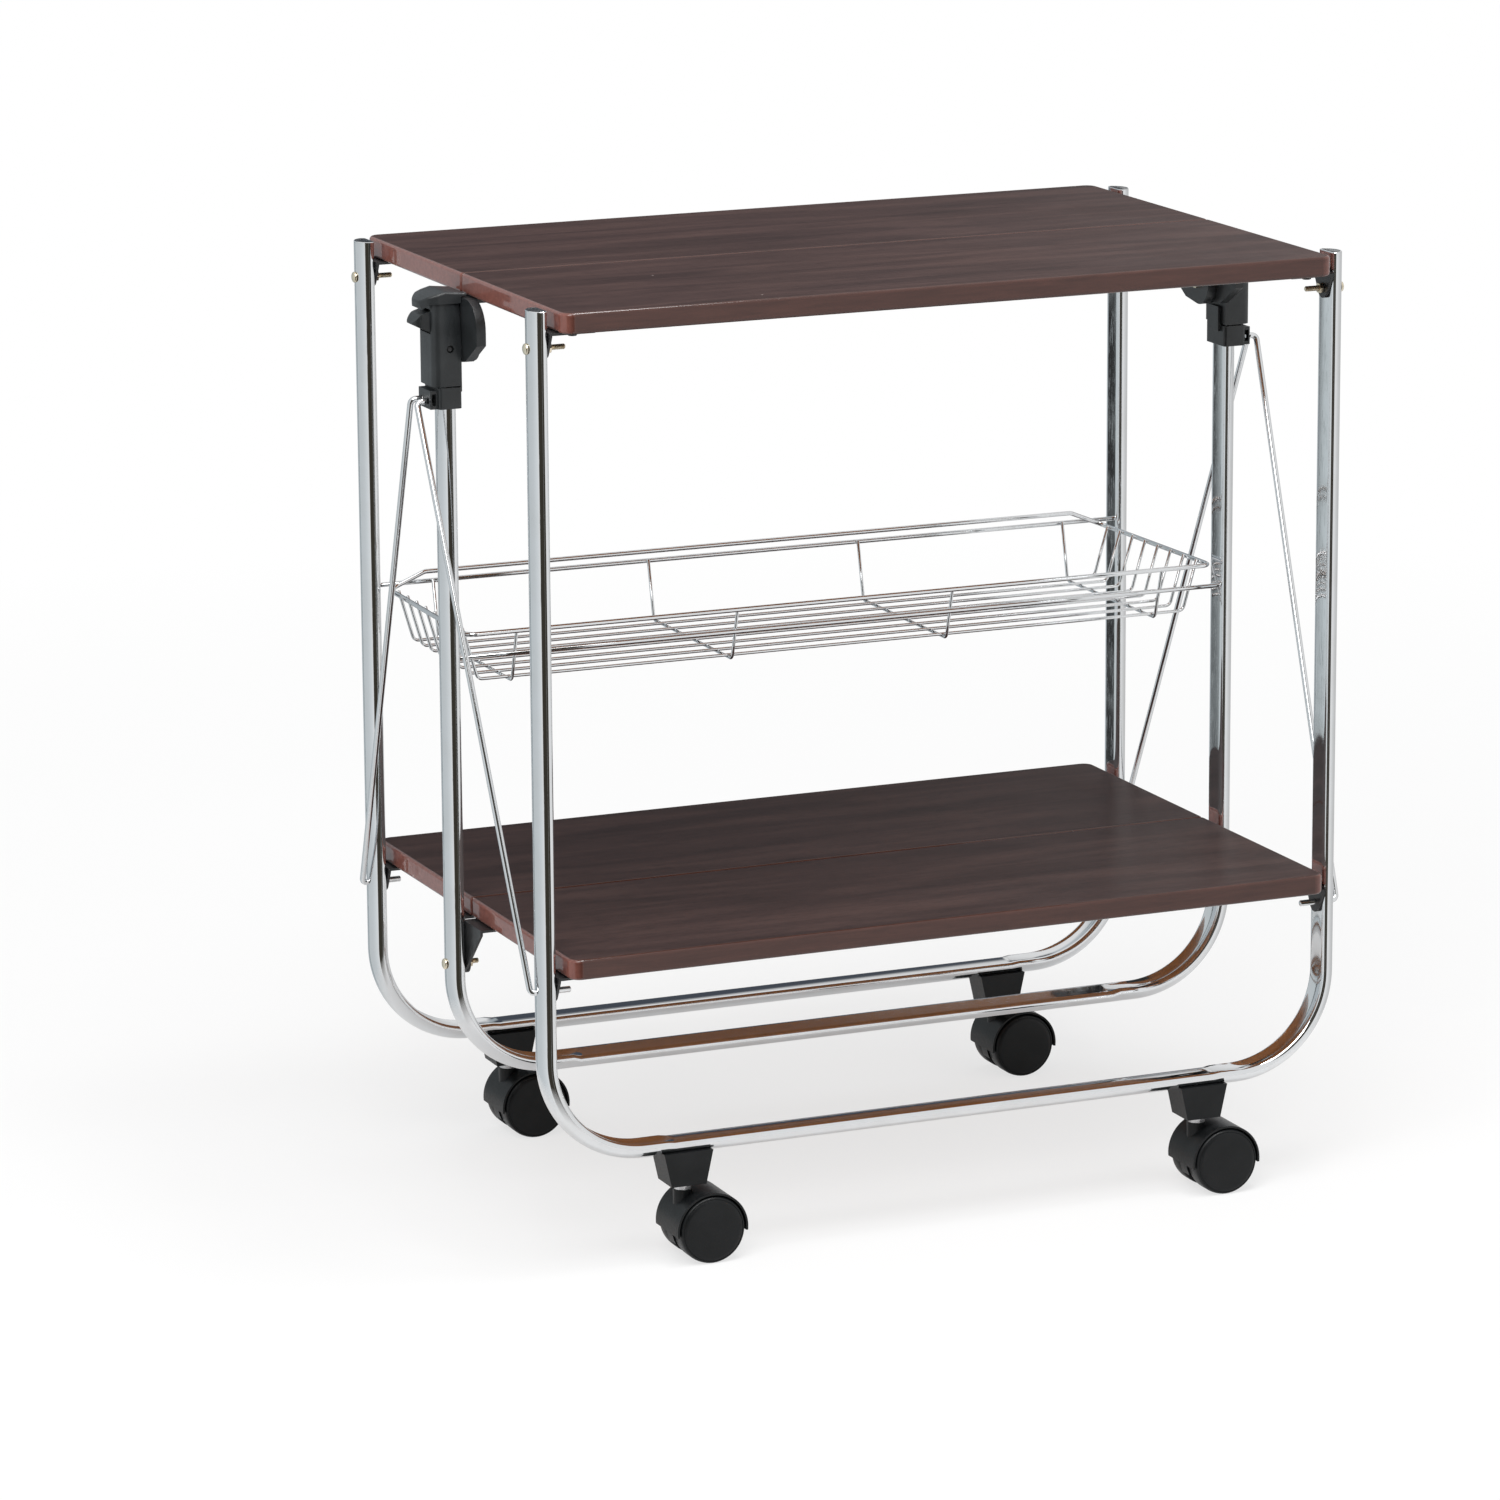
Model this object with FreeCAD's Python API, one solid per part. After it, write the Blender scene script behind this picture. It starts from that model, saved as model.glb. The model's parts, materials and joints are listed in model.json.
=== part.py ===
import FreeCAD, Part
import math
import os

# A folding serving trolley: two split shelves and a wire basket between three bent tube frames.
# Millimetres. +Z is up and the floor is z = 0, +X runs along the shelves, +Y points to the rear.

V = FreeCAD.Vector

# Overall sizes of the opened trolley
height = 700.0
depth = 400.0
shelf_length = 600.0
lower_shelf_height = 238.0

# Shelf boards
board_thickness = 15.0
board_corner = 9.0
board_seam_corner = 3.0
board_edge = 2.5
board_overhang = 25.0
seam_gap = 0.4
leg_gap = 6.0
middle_leg_step = 3.0

# Half-round tube of the three frames
tube_width = 25.0
tube_depth = 12.0
tube_wall = 1.2
tube_corner = 1.5
tube_bend = 80.0
outer_bar_height = 80.0
middle_bar_height = 100.0
inner_corner_share = 0.3
plug_length = 12.0

# Pivots, with the same drop from the outer to the middle pivot at both shelves and the basket
pivot_drop = 12.0
link_drop = 21.0
basket_height = 418.0

# Clearances and the overrun that all cuts share
running_gap = 0.05
seat_gap = 0.05
side_gap = 0.3
overrun = 5.0

# Bolts, nuts and screws
bolt_diameter = 4.0
bolt_head = 8.0
bolt_head_height = 2.6
head_dome_share = 0.7
bolt_tail = 11.0
nut_flats = 7.0
nut_thickness = 3.1
screw_diameter = 3.5
screw_head = 7.0
screw_head_height = 1.6
screw_length = 12.0

# Leg brackets under the outer ends of the boards
bracket_sheet = 2.0
bracket_reach = 34.0
leg_bracket_width = 26.0
leg_bracket_shoulder = 3.0
leg_bracket_lobe = 7.5
screw_spacing = 15.0

# Centre brackets at the middle legs
centre_bracket_width = 36.0
centre_bracket_start = 4.0
centre_bracket_shoulder = 4.0
centre_bracket_lobe = 8.0
middle_tab_gap = 0.6
hinge_plate = 7.0
hinge_plate_lobe = 16.0
hinge_plate_width = 46.0
hinge_plate_shoulder = 21.0
hinge_plate_belly_rise = 2.0
hinge_plate_heel = 21.0
hinge_plate_heel_drop = 13.0
hinge_plate_flange = 3.0
hinge_plate_flange_end = 28.0
hinge_plate_reach = 38.0
hinge_screw_run = 12.0

# Wire struts
strut_diameter = 4.5
strut_bend = 3.8
strut_stub = 12.0
strut_spread = 12.0
strut_hole_rise = 5.5
strut_end_reach = 8.25

# Collars that slide on the middle legs
collar_length = 15.5
collar_wall = 2.4
collar_front_wall = 3.0
lug_length = 5.5
lug_width = 24.0
lug_rise = 13.5
lug_recess = 4.0
lug_recess_length = 3.0
lug_recess_height = 8.5
lug_hole_depth = 4.0
tongue_width = 18.0
tongue_root = 11.0
tongue_length = 30.0
tongue_thickness = 2.4

# Grip housings on the middle legs, the palm grips on top of them and their triggers
housing_gap = 1.0
housing_drop = 4.0
housing_length = 60.0
housing_wall = 2.4
housing_front_wall = 3.5
housing_outer_room = 7.0
housing_outer_wall = 2.2
housing_top_wall = 2.0
housing_corner = 6.0
housing_taper = 6.0
housing_taper_side = 3.2
pocket_width = 22.0
pocket_height = 37.0
trigger_width = 20.0
trigger_slot_gap = 0.6
trigger_slot_rise = 12.8
trigger_slot_drop = 4.9
trigger_hub = 6.4
trigger_pin_diameter = 2.5
trigger_pin_drop = 17.0
trigger_pin_length = 28.0
trigger_reach = 15.5
trigger_corner = 5.5
trigger_tip = 1.2
trigger_lift = 3.4
trigger_crown_reach = 10.6
trigger_crown_lift = 9.2
trigger_crown_round = 6.0
trigger_back_reach = 2.5
trigger_back_lift = 11.8
trigger_root_reach = 3.0
trigger_root_drop = 4.2
grip_width = 34.0
grip_height = 8.8
grip_overhang = 8.0
grip_tip_corner = 14.0
grip_lip_reach = 4.4
grip_lip_rise = 4.8
grip_lip = 2.4
grip_tip_height = 1.6
grip_tip_drop = 4.0
grip_tip_set_back = 2.0
grip_slope = 3.2
grip_slope_run = 5.5
grip_crown_run = 12.0
grip_edge = 2.0
housing_screw_drop = 33.0
housing_screw_diameter = 2.8
housing_screw_head = 4.6
housing_screw_head_height = 1.6
housing_screw_recess = 5.4
housing_screw_recess_depth = 2.6
housing_screw_length = 6.5

# Wire basket between the rear frame and the middle frame
rail_diameter = 3.5
basket_wire = 2.4
rod_end = 4.0
rim_gap = 9.0
rim_rear_run = 28.0
rim_rear_lift = 8.0
rim_front_lean = 5.0
rim_splay = 5.0
rim_bend = 8.0
floor_drop = 20.0
floor_end_lean = 11.0
wire_bend = 5.0
long_wire_count = 8
long_wire_first = 13.0
long_wire_rear_gap = 13.45
cross_wire_first = 262.0
cross_wire_count = 4
rear_post_lean = 10.0

# Casters
socket_spacing = 414.0
socket_top_length = 38.0
socket_bottom_length = 27.0
socket_width = 26.0
socket_lip = 3.0
stem_diameter = 6.0
stem_shoulder = 13.0
stem_shoulder_height = 5.0
stem_rise = 8.0
wheel_diameter = 50.0
wheel_width = 16.5
wheel_edge = 2.5
wheel_offset = 15.0
web_thickness = 11.0
wheel_gap = 0.5
hood_gap = 1.0
hood_wall = 1.5
hood_width = 42.0
hood_skirt = 3.0
hood_neck = 14.0
hood_neck_rise = 28.0
web_set_in = 3.5
web_foot = 12.0
stem_socket = 3.0
axle_diameter = 5.0
axle_length = 36.0

# Places that follow from the sizes above
leg_in = shelf_length / 2 + leg_gap
leg_out = leg_in + tube_depth
leg_mid = leg_in + tube_depth / 2
middle_in = leg_in + middle_leg_step
middle_out = leg_out + middle_leg_step
middle_mid = leg_mid + middle_leg_step
frame_y = depth / 2 - board_overhang
upper_underside = height - board_thickness
lower_underside = lower_shelf_height - board_thickness
upper_pivot = upper_underside - pivot_drop
lower_pivot = lower_underside - pivot_drop
upper_centre = upper_pivot - link_drop
lower_centre = lower_pivot - link_drop
basket_rear_height = basket_height + link_drop
tab_out = leg_in - side_gap
tab_in = tab_out - bracket_sheet
middle_tab_out = middle_in - middle_tab_gap
second_tab_out = middle_tab_out - bracket_sheet - side_gap
second_tab_in = second_tab_out - bracket_sheet
sleeve_in = middle_in - side_gap - collar_wall
plate_out = sleeve_in - side_gap
plate_in = plate_out - hinge_plate
second_plate_out = plate_in - side_gap
second_plate_in = second_plate_out - hinge_plate
housing_top = upper_underside - housing_drop
housing_bottom = housing_top - housing_length
collar_height = housing_bottom - housing_gap - collar_length
strut_top_height = collar_height + strut_hole_rise
housing_in = middle_in - housing_wall
housing_out = middle_out + housing_outer_room
housing_half = tube_width / 2 + housing_front_wall
collar_out = middle_out + collar_front_wall
collar_half = tube_width / 2 + collar_front_wall
lug_out = collar_out + lug_length
trigger_pin_x = middle_out + side_gap + trigger_hub / 2
trigger_pin_z = housing_top - trigger_pin_drop
axle_height = wheel_diameter / 2
socket_x = socket_spacing / 2
hood_top = axle_height + hood_neck_rise
socket_bottom = hood_top + stem_shoulder_height


def box(x0, x1, y0, y1, z0, z1):
    return Part.makeBox(x1 - x0, y1 - y0, z1 - z0, V(x0, y0, z0))


def rod_x(x0, x1, y, z, diameter):
    return Part.makeCylinder(diameter / 2, x1 - x0, V(x0, y, z), V(1, 0, 0))


def rod_y(y0, y1, x, z, diameter):
    return Part.makeCylinder(diameter / 2, y1 - y0, V(x, y0, z), V(0, 1, 0))


def rod_z(z0, z1, x, y, diameter):
    return Part.makeCylinder(diameter / 2, z1 - z0, V(x, y, z0), V(0, 0, 1))


def prism(points, along):
    return Part.Face(Part.makePolygon(points + points[:1])).extrude(along)


def prism_x(x0, x1, outline):
    """Extrudes (y, z) points from x0 to x1."""
    return prism([V(x0, y, z) for y, z in outline], V(x1 - x0, 0, 0))


def prism_y(y0, y1, outline):
    """Extrudes (x, z) points from y0 to y1."""
    return prism([V(x, y0, z) for x, z in outline], V(0, y1 - y0, 0))


def mirrored(shape):
    """The same piece at the other end of the trolley."""
    return shape.mirror(V(0, 0, 0), V(1, 0, 0))


def turned(shape):
    """The same piece after a half turn about the vertical axis."""
    copy = shape.copy()
    copy.rotate(V(0, 0, 0), V(0, 0, 1), 180)
    return copy


def flipped(shape):
    """The same piece in front instead of behind, or the other way round."""
    return shape.mirror(V(0, 0, 0), V(0, 1, 0))


def both_ends(shape):
    return [shape, mirrored(shape)]


def export(name, solids):
    shape = solids[0] if len(solids) == 1 else Part.makeCompound(solids)
    shape.exportStep("parts/" + name + ".step")


# The half-round tube: flat inside, round outside


def half_round(leg, grow, corner, z):
    """The tube's section, level with z and flat on x = leg, its walls moved outwards by grow."""
    half = tube_width / 2 + grow
    flat = leg - grow
    apex = leg + tube_depth + grow
    inset = corner * (1 - math.cos(math.pi / 4))
    low = V(flat, corner - half, z)
    high = V(flat, half - corner, z)
    high_side = V(flat + corner, half, z)
    low_side = V(flat + corner, -half, z)
    edges = [
        Part.makeLine(low, high),
        Part.Arc(high, V(flat + inset, half - inset, z), high_side).toShape(),
        Part.Arc(high_side, V(apex, 0, z), low_side).toShape(),
        Part.Arc(low_side, V(flat + inset, inset - half, z), low).toShape(),
    ]
    return Part.Face(Part.Wire(edges))


def bent_bar(leg, grow, corner, bar_z, top):
    """A U of the tube's section: two legs, two bends and the bar between them."""
    centre = V(leg + tube_depth - tube_bend, 0, bar_z + tube_bend)
    section = half_round(leg, grow, corner, centre.z)
    upright_leg = section.extrude(V(0, 0, top - centre.z))
    bend = section.revolve(centre, V(0, 1, 0), 90)
    bar_section = section.copy()
    bar_section.rotate(centre, V(0, 1, 0), 90)
    bar = bar_section.extrude(V(-2 * centre.x, 0, 0))
    return bar.fuse(both_ends(upright_leg) + both_ends(bend)).removeSplitter()


def frame_tube(leg, bar_z, top):
    outside = bent_bar(leg, 0, tube_corner, bar_z, top)
    inside = bent_bar(leg, -tube_wall, tube_corner * inner_corner_share, bar_z, top + overrun)
    return outside.cut(inside)


def leg_hole(z, diameter):
    """A hole through both walls of both legs."""
    hole = diameter + 2 * running_gap
    return both_ends(rod_x(leg_in - overrun, middle_out + overrun, 0, z, hole))


def rod_hole(z):
    """A hole for the basket's rod, through the flat wall of both legs."""
    return both_ends(rod_x(leg_in - overrun, leg_mid, 0, z, rail_diameter + 2 * running_gap))


def stem_hole():
    hole = stem_diameter + 2 * running_gap
    top = outer_bar_height + tube_depth / 2
    return both_ends(rod_z(outer_bar_height - overrun, top, socket_x, 0, hole))


def outer_frame(with_basket):
    cuts = leg_hole(upper_pivot, bolt_diameter) + leg_hole(lower_pivot, strut_diameter) + stem_hole()
    if with_basket:
        cuts = cuts + rod_hole(basket_rear_height)
    return frame_tube(leg_in, outer_bar_height, height).cut(cuts)


middle_frame_top = housing_top - housing_top_wall
housing_screw_z = housing_top - housing_screw_drop


def housing_screw_hole():
    hole = housing_screw_diameter + 2 * running_gap
    return both_ends(rod_y(-tube_width, tube_width, middle_mid, housing_screw_z, hole))


def middle_frame():
    cuts = leg_hole(upper_centre, bolt_diameter) + leg_hole(lower_centre, bolt_diameter)
    cuts = cuts + rod_hole(basket_height) + housing_screw_hole()
    return frame_tube(middle_in, middle_bar_height, middle_frame_top).cut(cuts)


def leg_plug():
    corner = tube_corner * inner_corner_share
    section = half_round(leg_in, -tube_wall - seat_gap, corner, height - plug_length)
    return section.extrude(V(0, 0, plug_length))


def at_frame(shape, y):
    moved = shape.copy()
    moved.translate(V(0, y, 0))
    return moved


# Boards


def upright(edge):
    return abs(edge.BoundBox.ZLength) > board_thickness / 2


def board(top):
    """The rear board of a shelf, with its screw holes."""
    seam = seam_gap / 2
    rear = depth / 2
    blank = box(-shelf_length / 2, shelf_length / 2, seam, rear, top - board_thickness, top)
    outer = [e for e in blank.Edges if upright(e) and e.BoundBox.YMin > depth / 4]
    blank = blank.makeFillet(board_corner, outer)
    inner = [e for e in blank.Edges if upright(e) and e.BoundBox.YMax < board_seam_corner]
    blank = blank.makeFillet(board_seam_corner, inner)
    rims = [e for e in blank.Edges if e.BoundBox.ZLength < board_edge / 2]
    return blank.makeFillet(board_edge, rims)


def drilled_board(top, places):
    hole = screw_diameter + 2 * running_gap
    bottom = top - board_thickness
    deep = bottom + screw_length
    return board(top).cut([rod_z(bottom - overrun, deep, x, y, hole) for x, y in places])


# Bolts, nuts and screws


def dome_head(diameter, rise):
    """A domed head, its flat face on x = 0 and its dome towards +X."""
    head = rod_x(0, rise, 0, 0, diameter)
    rim = [e for e in head.Edges if e.BoundBox.XMin > rise / 2]
    return head.makeFillet(rise * head_dome_share, rim)


def pivot_bolt(leg, tip, z):
    """A bolt from the outside of a leg, round at x = leg, inwards to x = tip."""
    head = dome_head(bolt_head, bolt_head_height)
    head.translate(V(leg + seat_gap, 0, z))
    return head.fuse(rod_x(tip, leg + 2 * seat_gap, 0, z, bolt_diameter)).removeSplitter()


def nut(outer_face, z):
    """A hexagon nut with its outer face on x = outer_face."""
    corner = nut_flats / math.sqrt(3)
    angles = [math.radians(60 * i) for i in range(6)]
    outline = [(corner * math.cos(a), z + corner * math.sin(a)) for a in angles]
    start = outer_face - nut_thickness
    body = prism_x(start, start + nut_thickness, outline)
    return body.cut(rod_x(start - overrun, outer_face + overrun, 0, z, bolt_diameter + 2 * running_gap))


def wood_screw(x, y, z):
    """A screw driven up into a board, its head's upper face on z."""
    head = dome_head(screw_head, screw_head_height)
    head.rotate(V(0, 0, 0), V(0, 1, 0), 90)
    head.translate(V(x, y, z - seat_gap))
    length = screw_length - side_gap
    return head.fuse(rod_z(z - 2 * seat_gap, z + length, x, y, screw_diameter)).removeSplitter()


# Brackets


def tangent_point(x, z, radius):
    """Where a line from (x, z) touches the right-hand side of a circle of that radius about (0, 0)."""
    angle = math.atan2(z, x) - math.acos(radius / math.hypot(x, z))
    return radius * math.cos(angle), radius * math.sin(angle)


def leg_bracket(underside, pin_diameter):
    """The right-hand angle bracket of a board's outer edge."""
    half = leg_bracket_width / 2
    pivot = underside - pivot_drop
    shoulder = pivot_drop - leg_bracket_shoulder
    u, w = tangent_point(half, shoulder, leg_bracket_lobe)
    outline = [(-half, underside), (half, underside), (half, pivot + shoulder), (u, pivot + w)]
    outline = outline + [(-u, pivot + w), (-half, pivot + shoulder)]
    tab = prism_x(tab_in, tab_out, outline)
    tab = tab.fuse(rod_x(tab_in, tab_out, 0, pivot, 2 * leg_bracket_lobe))
    flange = box(tab_out - bracket_reach, tab_out, -half, half, underside - bracket_sheet, underside)
    holes = [rod_x(tab_in - overrun, tab_out + overrun, 0, pivot, pin_diameter + 2 * running_gap)]
    holes = holes + bracket_holes(leg_bracket_screws(), underside)
    return tab.fuse(flange).removeSplitter().cut(holes)


def bracket_holes(places, underside):
    hole = screw_diameter + 2 * running_gap
    return [rod_z(underside - overrun, underside + overrun, x, y, hole) for x, y in places]


def leg_bracket_screws():
    """Screw places of the right-hand leg bracket, measured from its own pivot's plane."""
    x = tab_out - bracket_reach / 2 - bracket_sheet
    return [(x, -screw_spacing / 2), (x, screw_spacing / 2)]


def centre_bracket(outer_face):
    """The lower shelf's right-hand bracket at the middle leg, for the rear board."""
    start = centre_bracket_start
    end = start + centre_bracket_width
    rise = pivot_drop + link_drop
    shoulder = rise - centre_bracket_shoulder
    u, w = tangent_point(end, shoulder, centre_bracket_lobe)
    top = lower_underside
    outline = [(start, top), (end, top), (end, lower_centre + shoulder), (u, lower_centre + w)]
    outline = outline + [(-centre_bracket_lobe, lower_centre), (-start, lower_centre + rise / 2)]
    inner_face = outer_face - bracket_sheet
    tab = prism_x(inner_face, outer_face, outline)
    tab = tab.fuse(rod_x(inner_face, outer_face, 0, lower_centre, 2 * centre_bracket_lobe))
    flange = box(tab_out - bracket_reach, outer_face, start, end, top - bracket_sheet, top)
    pin = bolt_diameter + 2 * running_gap
    holes = [rod_x(inner_face - overrun, outer_face + overrun, 0, lower_centre, pin)]
    holes = holes + bracket_holes(centre_bracket_screws(), top)
    return tab.fuse(flange).removeSplitter().cut(holes)


def centre_bracket_screws():
    x = tab_out - bracket_reach / 2 - bracket_sheet
    middle = centre_bracket_start + centre_bracket_width / 2
    return [(x, middle - screw_spacing / 2), (x, middle + screw_spacing / 2)]


def hinge_plate_bracket(outer_face):
    """The upper shelf's right-hand hinge plate at the middle leg, for the rear board."""
    inner_face = outer_face - hinge_plate
    top = upper_underside
    start = centre_bracket_start
    lobe = hinge_plate_lobe
    u, w = tangent_point(hinge_plate_heel, -hinge_plate_heel_drop, lobe)
    outline = [
        (start, top),
        (hinge_plate_width, top),
        (hinge_plate_width, upper_centre + hinge_plate_belly_rise),
        (hinge_plate_heel, upper_centre - hinge_plate_heel_drop),
        (u, upper_centre + w),
        (-lobe * math.sqrt(3) / 2, upper_centre + lobe / 2),
    ]
    plate = prism_x(inner_face, outer_face, outline)
    shoulder = [e for e in plate.Edges if e.BoundBox.YMin > hinge_plate_heel]
    shoulder = [e for e in shoulder if e.BoundBox.ZMin > top - side_gap]
    plate = plate.makeFillet(hinge_plate_shoulder, shoulder)
    plate = plate.fuse(rod_x(inner_face, outer_face, 0, upper_centre, 2 * lobe))
    flange_in = plate_out - hinge_plate_reach
    flange = box(flange_in, outer_face, start, hinge_plate_flange_end, top - hinge_plate_flange, top)
    pin = bolt_diameter + 2 * running_gap
    holes = [rod_x(inner_face - overrun, outer_face + overrun, 0, upper_centre, pin)]
    holes = holes + bracket_holes(hinge_plate_screws(), top)
    return plate.fuse(flange).removeSplitter().cut(holes)


def hinge_plate_screws():
    x = plate_out - hinge_plate_reach + screw_head
    middle = centre_bracket_start + hinge_screw_run
    return [(x, middle - screw_spacing / 2), (x, middle + screw_spacing / 2)]


# Bent wires


def rounded_path(points, radius, closed):
    """Straight runs through the points, joined by arcs of the given radius."""
    count = len(points)
    corners = range(count) if closed else range(1, count - 1)
    starts = {0: points[0]}
    ends = {count - 1: points[-1]}
    arcs = {}
    for i in corners:
        here = points[i]
        back = (points[i - 1] - here).normalize()
        ahead = (points[(i + 1) % count] - here).normalize()
        half = math.acos(max(-1, min(1, back.dot(ahead)))) / 2
        run = radius / math.tan(half)
        middle = (back + ahead).normalize() * (radius / math.sin(half) - radius)
        ends[i] = here + back * run
        starts[i] = here + ahead * run
        arcs[i] = Part.Arc(ends[i], here + middle, starts[i]).toShape()
    edges = []
    for i in range(count if closed else count - 1):
        following = (i + 1) % count
        edges.append(Part.makeLine(starts[i], ends[following]))
        if following in arcs:
            edges.append(arcs[following])
    return Part.Wire(edges)


def bent_wire(points, radius, diameter, closed=False):
    path = rounded_path(points, radius, closed)
    first = path.OrderedEdges[0]
    start = first.Curve.value(first.FirstParameter)
    circle = Part.Wire(Part.makeCircle(diameter / 2, start, first.tangentAt(first.FirstParameter)))
    return path.makePipeShell([circle], True, False)


strut_x = leg_out + side_gap + strut_bend


def strut():
    """The rear strut at the right-hand end. Its lower end is the pin of the lower outer pivot."""
    top_y = strut_spread / 2
    points = [
        V(tab_in - strut_stub, frame_y, lower_pivot),
        V(strut_x, frame_y, lower_pivot),
        V(lug_out + strut_end_reach, top_y, strut_top_height),
        V(lug_out + side_gap, top_y, strut_top_height),
    ]
    return bent_wire(points, strut_bend, strut_diameter)


# Collars, grip housings, palm grips and triggers, all at the right-hand end


def collar():
    top = collar_height + collar_length
    sleeve = box(sleeve_in, collar_out, -collar_half, collar_half, collar_height, top)
    edges = [e for e in sleeve.Edges if e.BoundBox.ZLength > collar_length / 2]
    sleeve = sleeve.makeFillet(collar_wall, edges)
    lug_half = lug_width / 2
    lug_top = collar_height + lug_rise
    lug = box(collar_out - collar_front_wall / 2, lug_out, -lug_half, lug_half, collar_height, lug_top)
    tongue_half = tongue_width / 2
    tongue_bottom = collar_height + tongue_root
    tongue_top = collar_height + tongue_length
    tongue_in = sleeve_in - tongue_thickness
    tongue = box(tongue_in, sleeve_in, -tongue_half, tongue_half, tongue_bottom, tongue_top)
    passage = half_round(middle_in, side_gap, tube_corner, collar_height - overrun)
    cuts = [passage.extrude(V(0, 0, collar_length + 2 * overrun))]
    recess_x = collar_out + (lug_length - lug_recess_length) / 2
    low = collar_height + (lug_rise - lug_recess_height) / 2
    high = low + lug_recess_height
    floor = lug_half - lug_recess
    recess = box(recess_x, recess_x + lug_recess_length, floor, lug_half + overrun, low, high)
    cuts = cuts + [recess, flipped(recess)]
    hole_y = strut_spread / 2
    hole = rod_x(lug_out - lug_hole_depth, lug_out + overrun, hole_y, strut_top_height, strut_diameter)
    cuts = cuts + [hole, flipped(hole)]
    return sleeve.fuse([lug, tongue]).removeSplitter().cut(cuts)


def housing_taper_cut():
    """What is cut off the housing's inner front corner, nothing at the bottom and most at the top."""
    front = -housing_half
    section = [
        V(housing_in - overrun, front - overrun, housing_top),
        V(housing_in + housing_taper, front - overrun, housing_top),
        V(housing_in + housing_taper, front, housing_top),
        V(housing_in, front + housing_taper_side, housing_top),
        V(housing_in - overrun, front + housing_taper_side, housing_top),
    ]
    slant = V(-housing_taper, -housing_taper_side, -housing_length)
    return prism(section, slant)


def grip_housing():
    body = box(housing_in, housing_out, -housing_half, housing_half, housing_bottom, housing_top)
    edges = [e for e in body.Edges if e.BoundBox.ZLength > housing_length / 2]
    outer_edges = [e for e in edges if e.BoundBox.XMin > middle_out]
    body = body.makeFillet(housing_corner, outer_edges)
    passage = half_round(middle_in, seat_gap, tube_corner, housing_bottom - overrun)
    tube_room = passage.extrude(V(0, 0, middle_frame_top + seat_gap - housing_bottom + overrun))
    pocket_out = housing_out - housing_outer_wall
    pocket_top = housing_top - housing_top_wall
    half = pocket_width / 2
    pocket = box(middle_out, pocket_out, -half, half, pocket_top - pocket_height, pocket_top)
    slot_half = trigger_width / 2 + trigger_slot_gap
    slot_top = trigger_pin_z + trigger_slot_rise
    slot_low = trigger_pin_z - trigger_slot_drop
    slot = box(middle_out, housing_out + overrun, -slot_half, slot_half, slot_low, slot_top)
    pin = trigger_pin_diameter + 2 * running_gap
    pin_half = trigger_pin_length / 2 + side_gap
    pin_hole = rod_y(-pin_half, pin_half, trigger_pin_x, trigger_pin_z, pin)
    bolt = bolt_diameter + 2 * running_gap
    bolt_hole = rod_x(housing_in - overrun, middle_out + housing_wall, 0, upper_centre, bolt)
    recess_floor = housing_half - housing_screw_recess_depth
    outside = housing_half + overrun
    recess = rod_y(recess_floor, outside, middle_mid, housing_screw_z, housing_screw_recess)
    shank = housing_screw_diameter + 2 * running_gap
    screw_hole = rod_y(0, outside, middle_mid, housing_screw_z, shank)
    taper = housing_taper_cut()
    cuts = [tube_room, pocket, slot, pin_hole, bolt_hole, taper, flipped(taper)]
    cuts = cuts + [recess, flipped(recess), screw_hole, flipped(screw_hole)]
    return body.cut(cuts)


def housing_screw():
    """The rear screw of the right-hand housing, driven towards the front."""
    seat = housing_half - housing_screw_recess_depth + seat_gap
    head = dome_head(housing_screw_head, housing_screw_head_height)
    head.rotate(V(0, 0, 0), V(0, 0, 1), 90)
    head.translate(V(middle_mid, seat, housing_screw_z))
    tip = seat - housing_screw_length
    shank = rod_y(tip, seat + seat_gap, middle_mid, housing_screw_z, housing_screw_diameter)
    return head.fuse(shank).removeSplitter()


def rounded_tip(x0, x1, half, z0, z1, corner):
    """A block whose two upright edges at x1 are rounded, to trim a grip or a trigger with."""
    block = box(x0, x1, -half, half, z0, z1)
    return block.makeFillet(corner, [e for e in block.Edges if e.BoundBox.XMin > x1 - half and at_side(e)])


def at_side(edge):
    return edge.BoundBox.YLength < side_gap and edge.BoundBox.XLength < side_gap


def palm_grip():
    base = housing_top + seat_gap
    lip_in = housing_in - grip_lip_reach
    lip_top = base + grip_lip_rise + grip_lip
    tip = housing_out + grip_overhang
    crown = base + grip_height
    outline = [
        (housing_in, base),
        (housing_in, base + grip_lip_rise),
        (lip_in, base + grip_lip_rise),
        (lip_in, lip_top),
        (housing_in + grip_crown_run, crown),
        (tip - grip_slope_run, crown - grip_slope),
        (tip, base + grip_tip_height),
        (tip - grip_tip_set_back, base - grip_tip_drop),
        (housing_out + grip_tip_set_back, base),
    ]
    half = grip_width / 2
    block = rounded_tip(lip_in, tip, half, base - grip_tip_drop, crown, grip_tip_corner)
    grip = prism_y(-half, half, outline).common(block)
    edges = [e for e in grip.Edges if on_top(e, base + grip_edge / 2)]
    edges = [e for e in edges if on_top(e, lip_top - seat_gap) or e.BoundBox.XMax > housing_in + side_gap]
    return grip.makeFillet(grip_edge, edges)


def on_top(edge, z):
    return edge.BoundBox.ZMin > z


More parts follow.
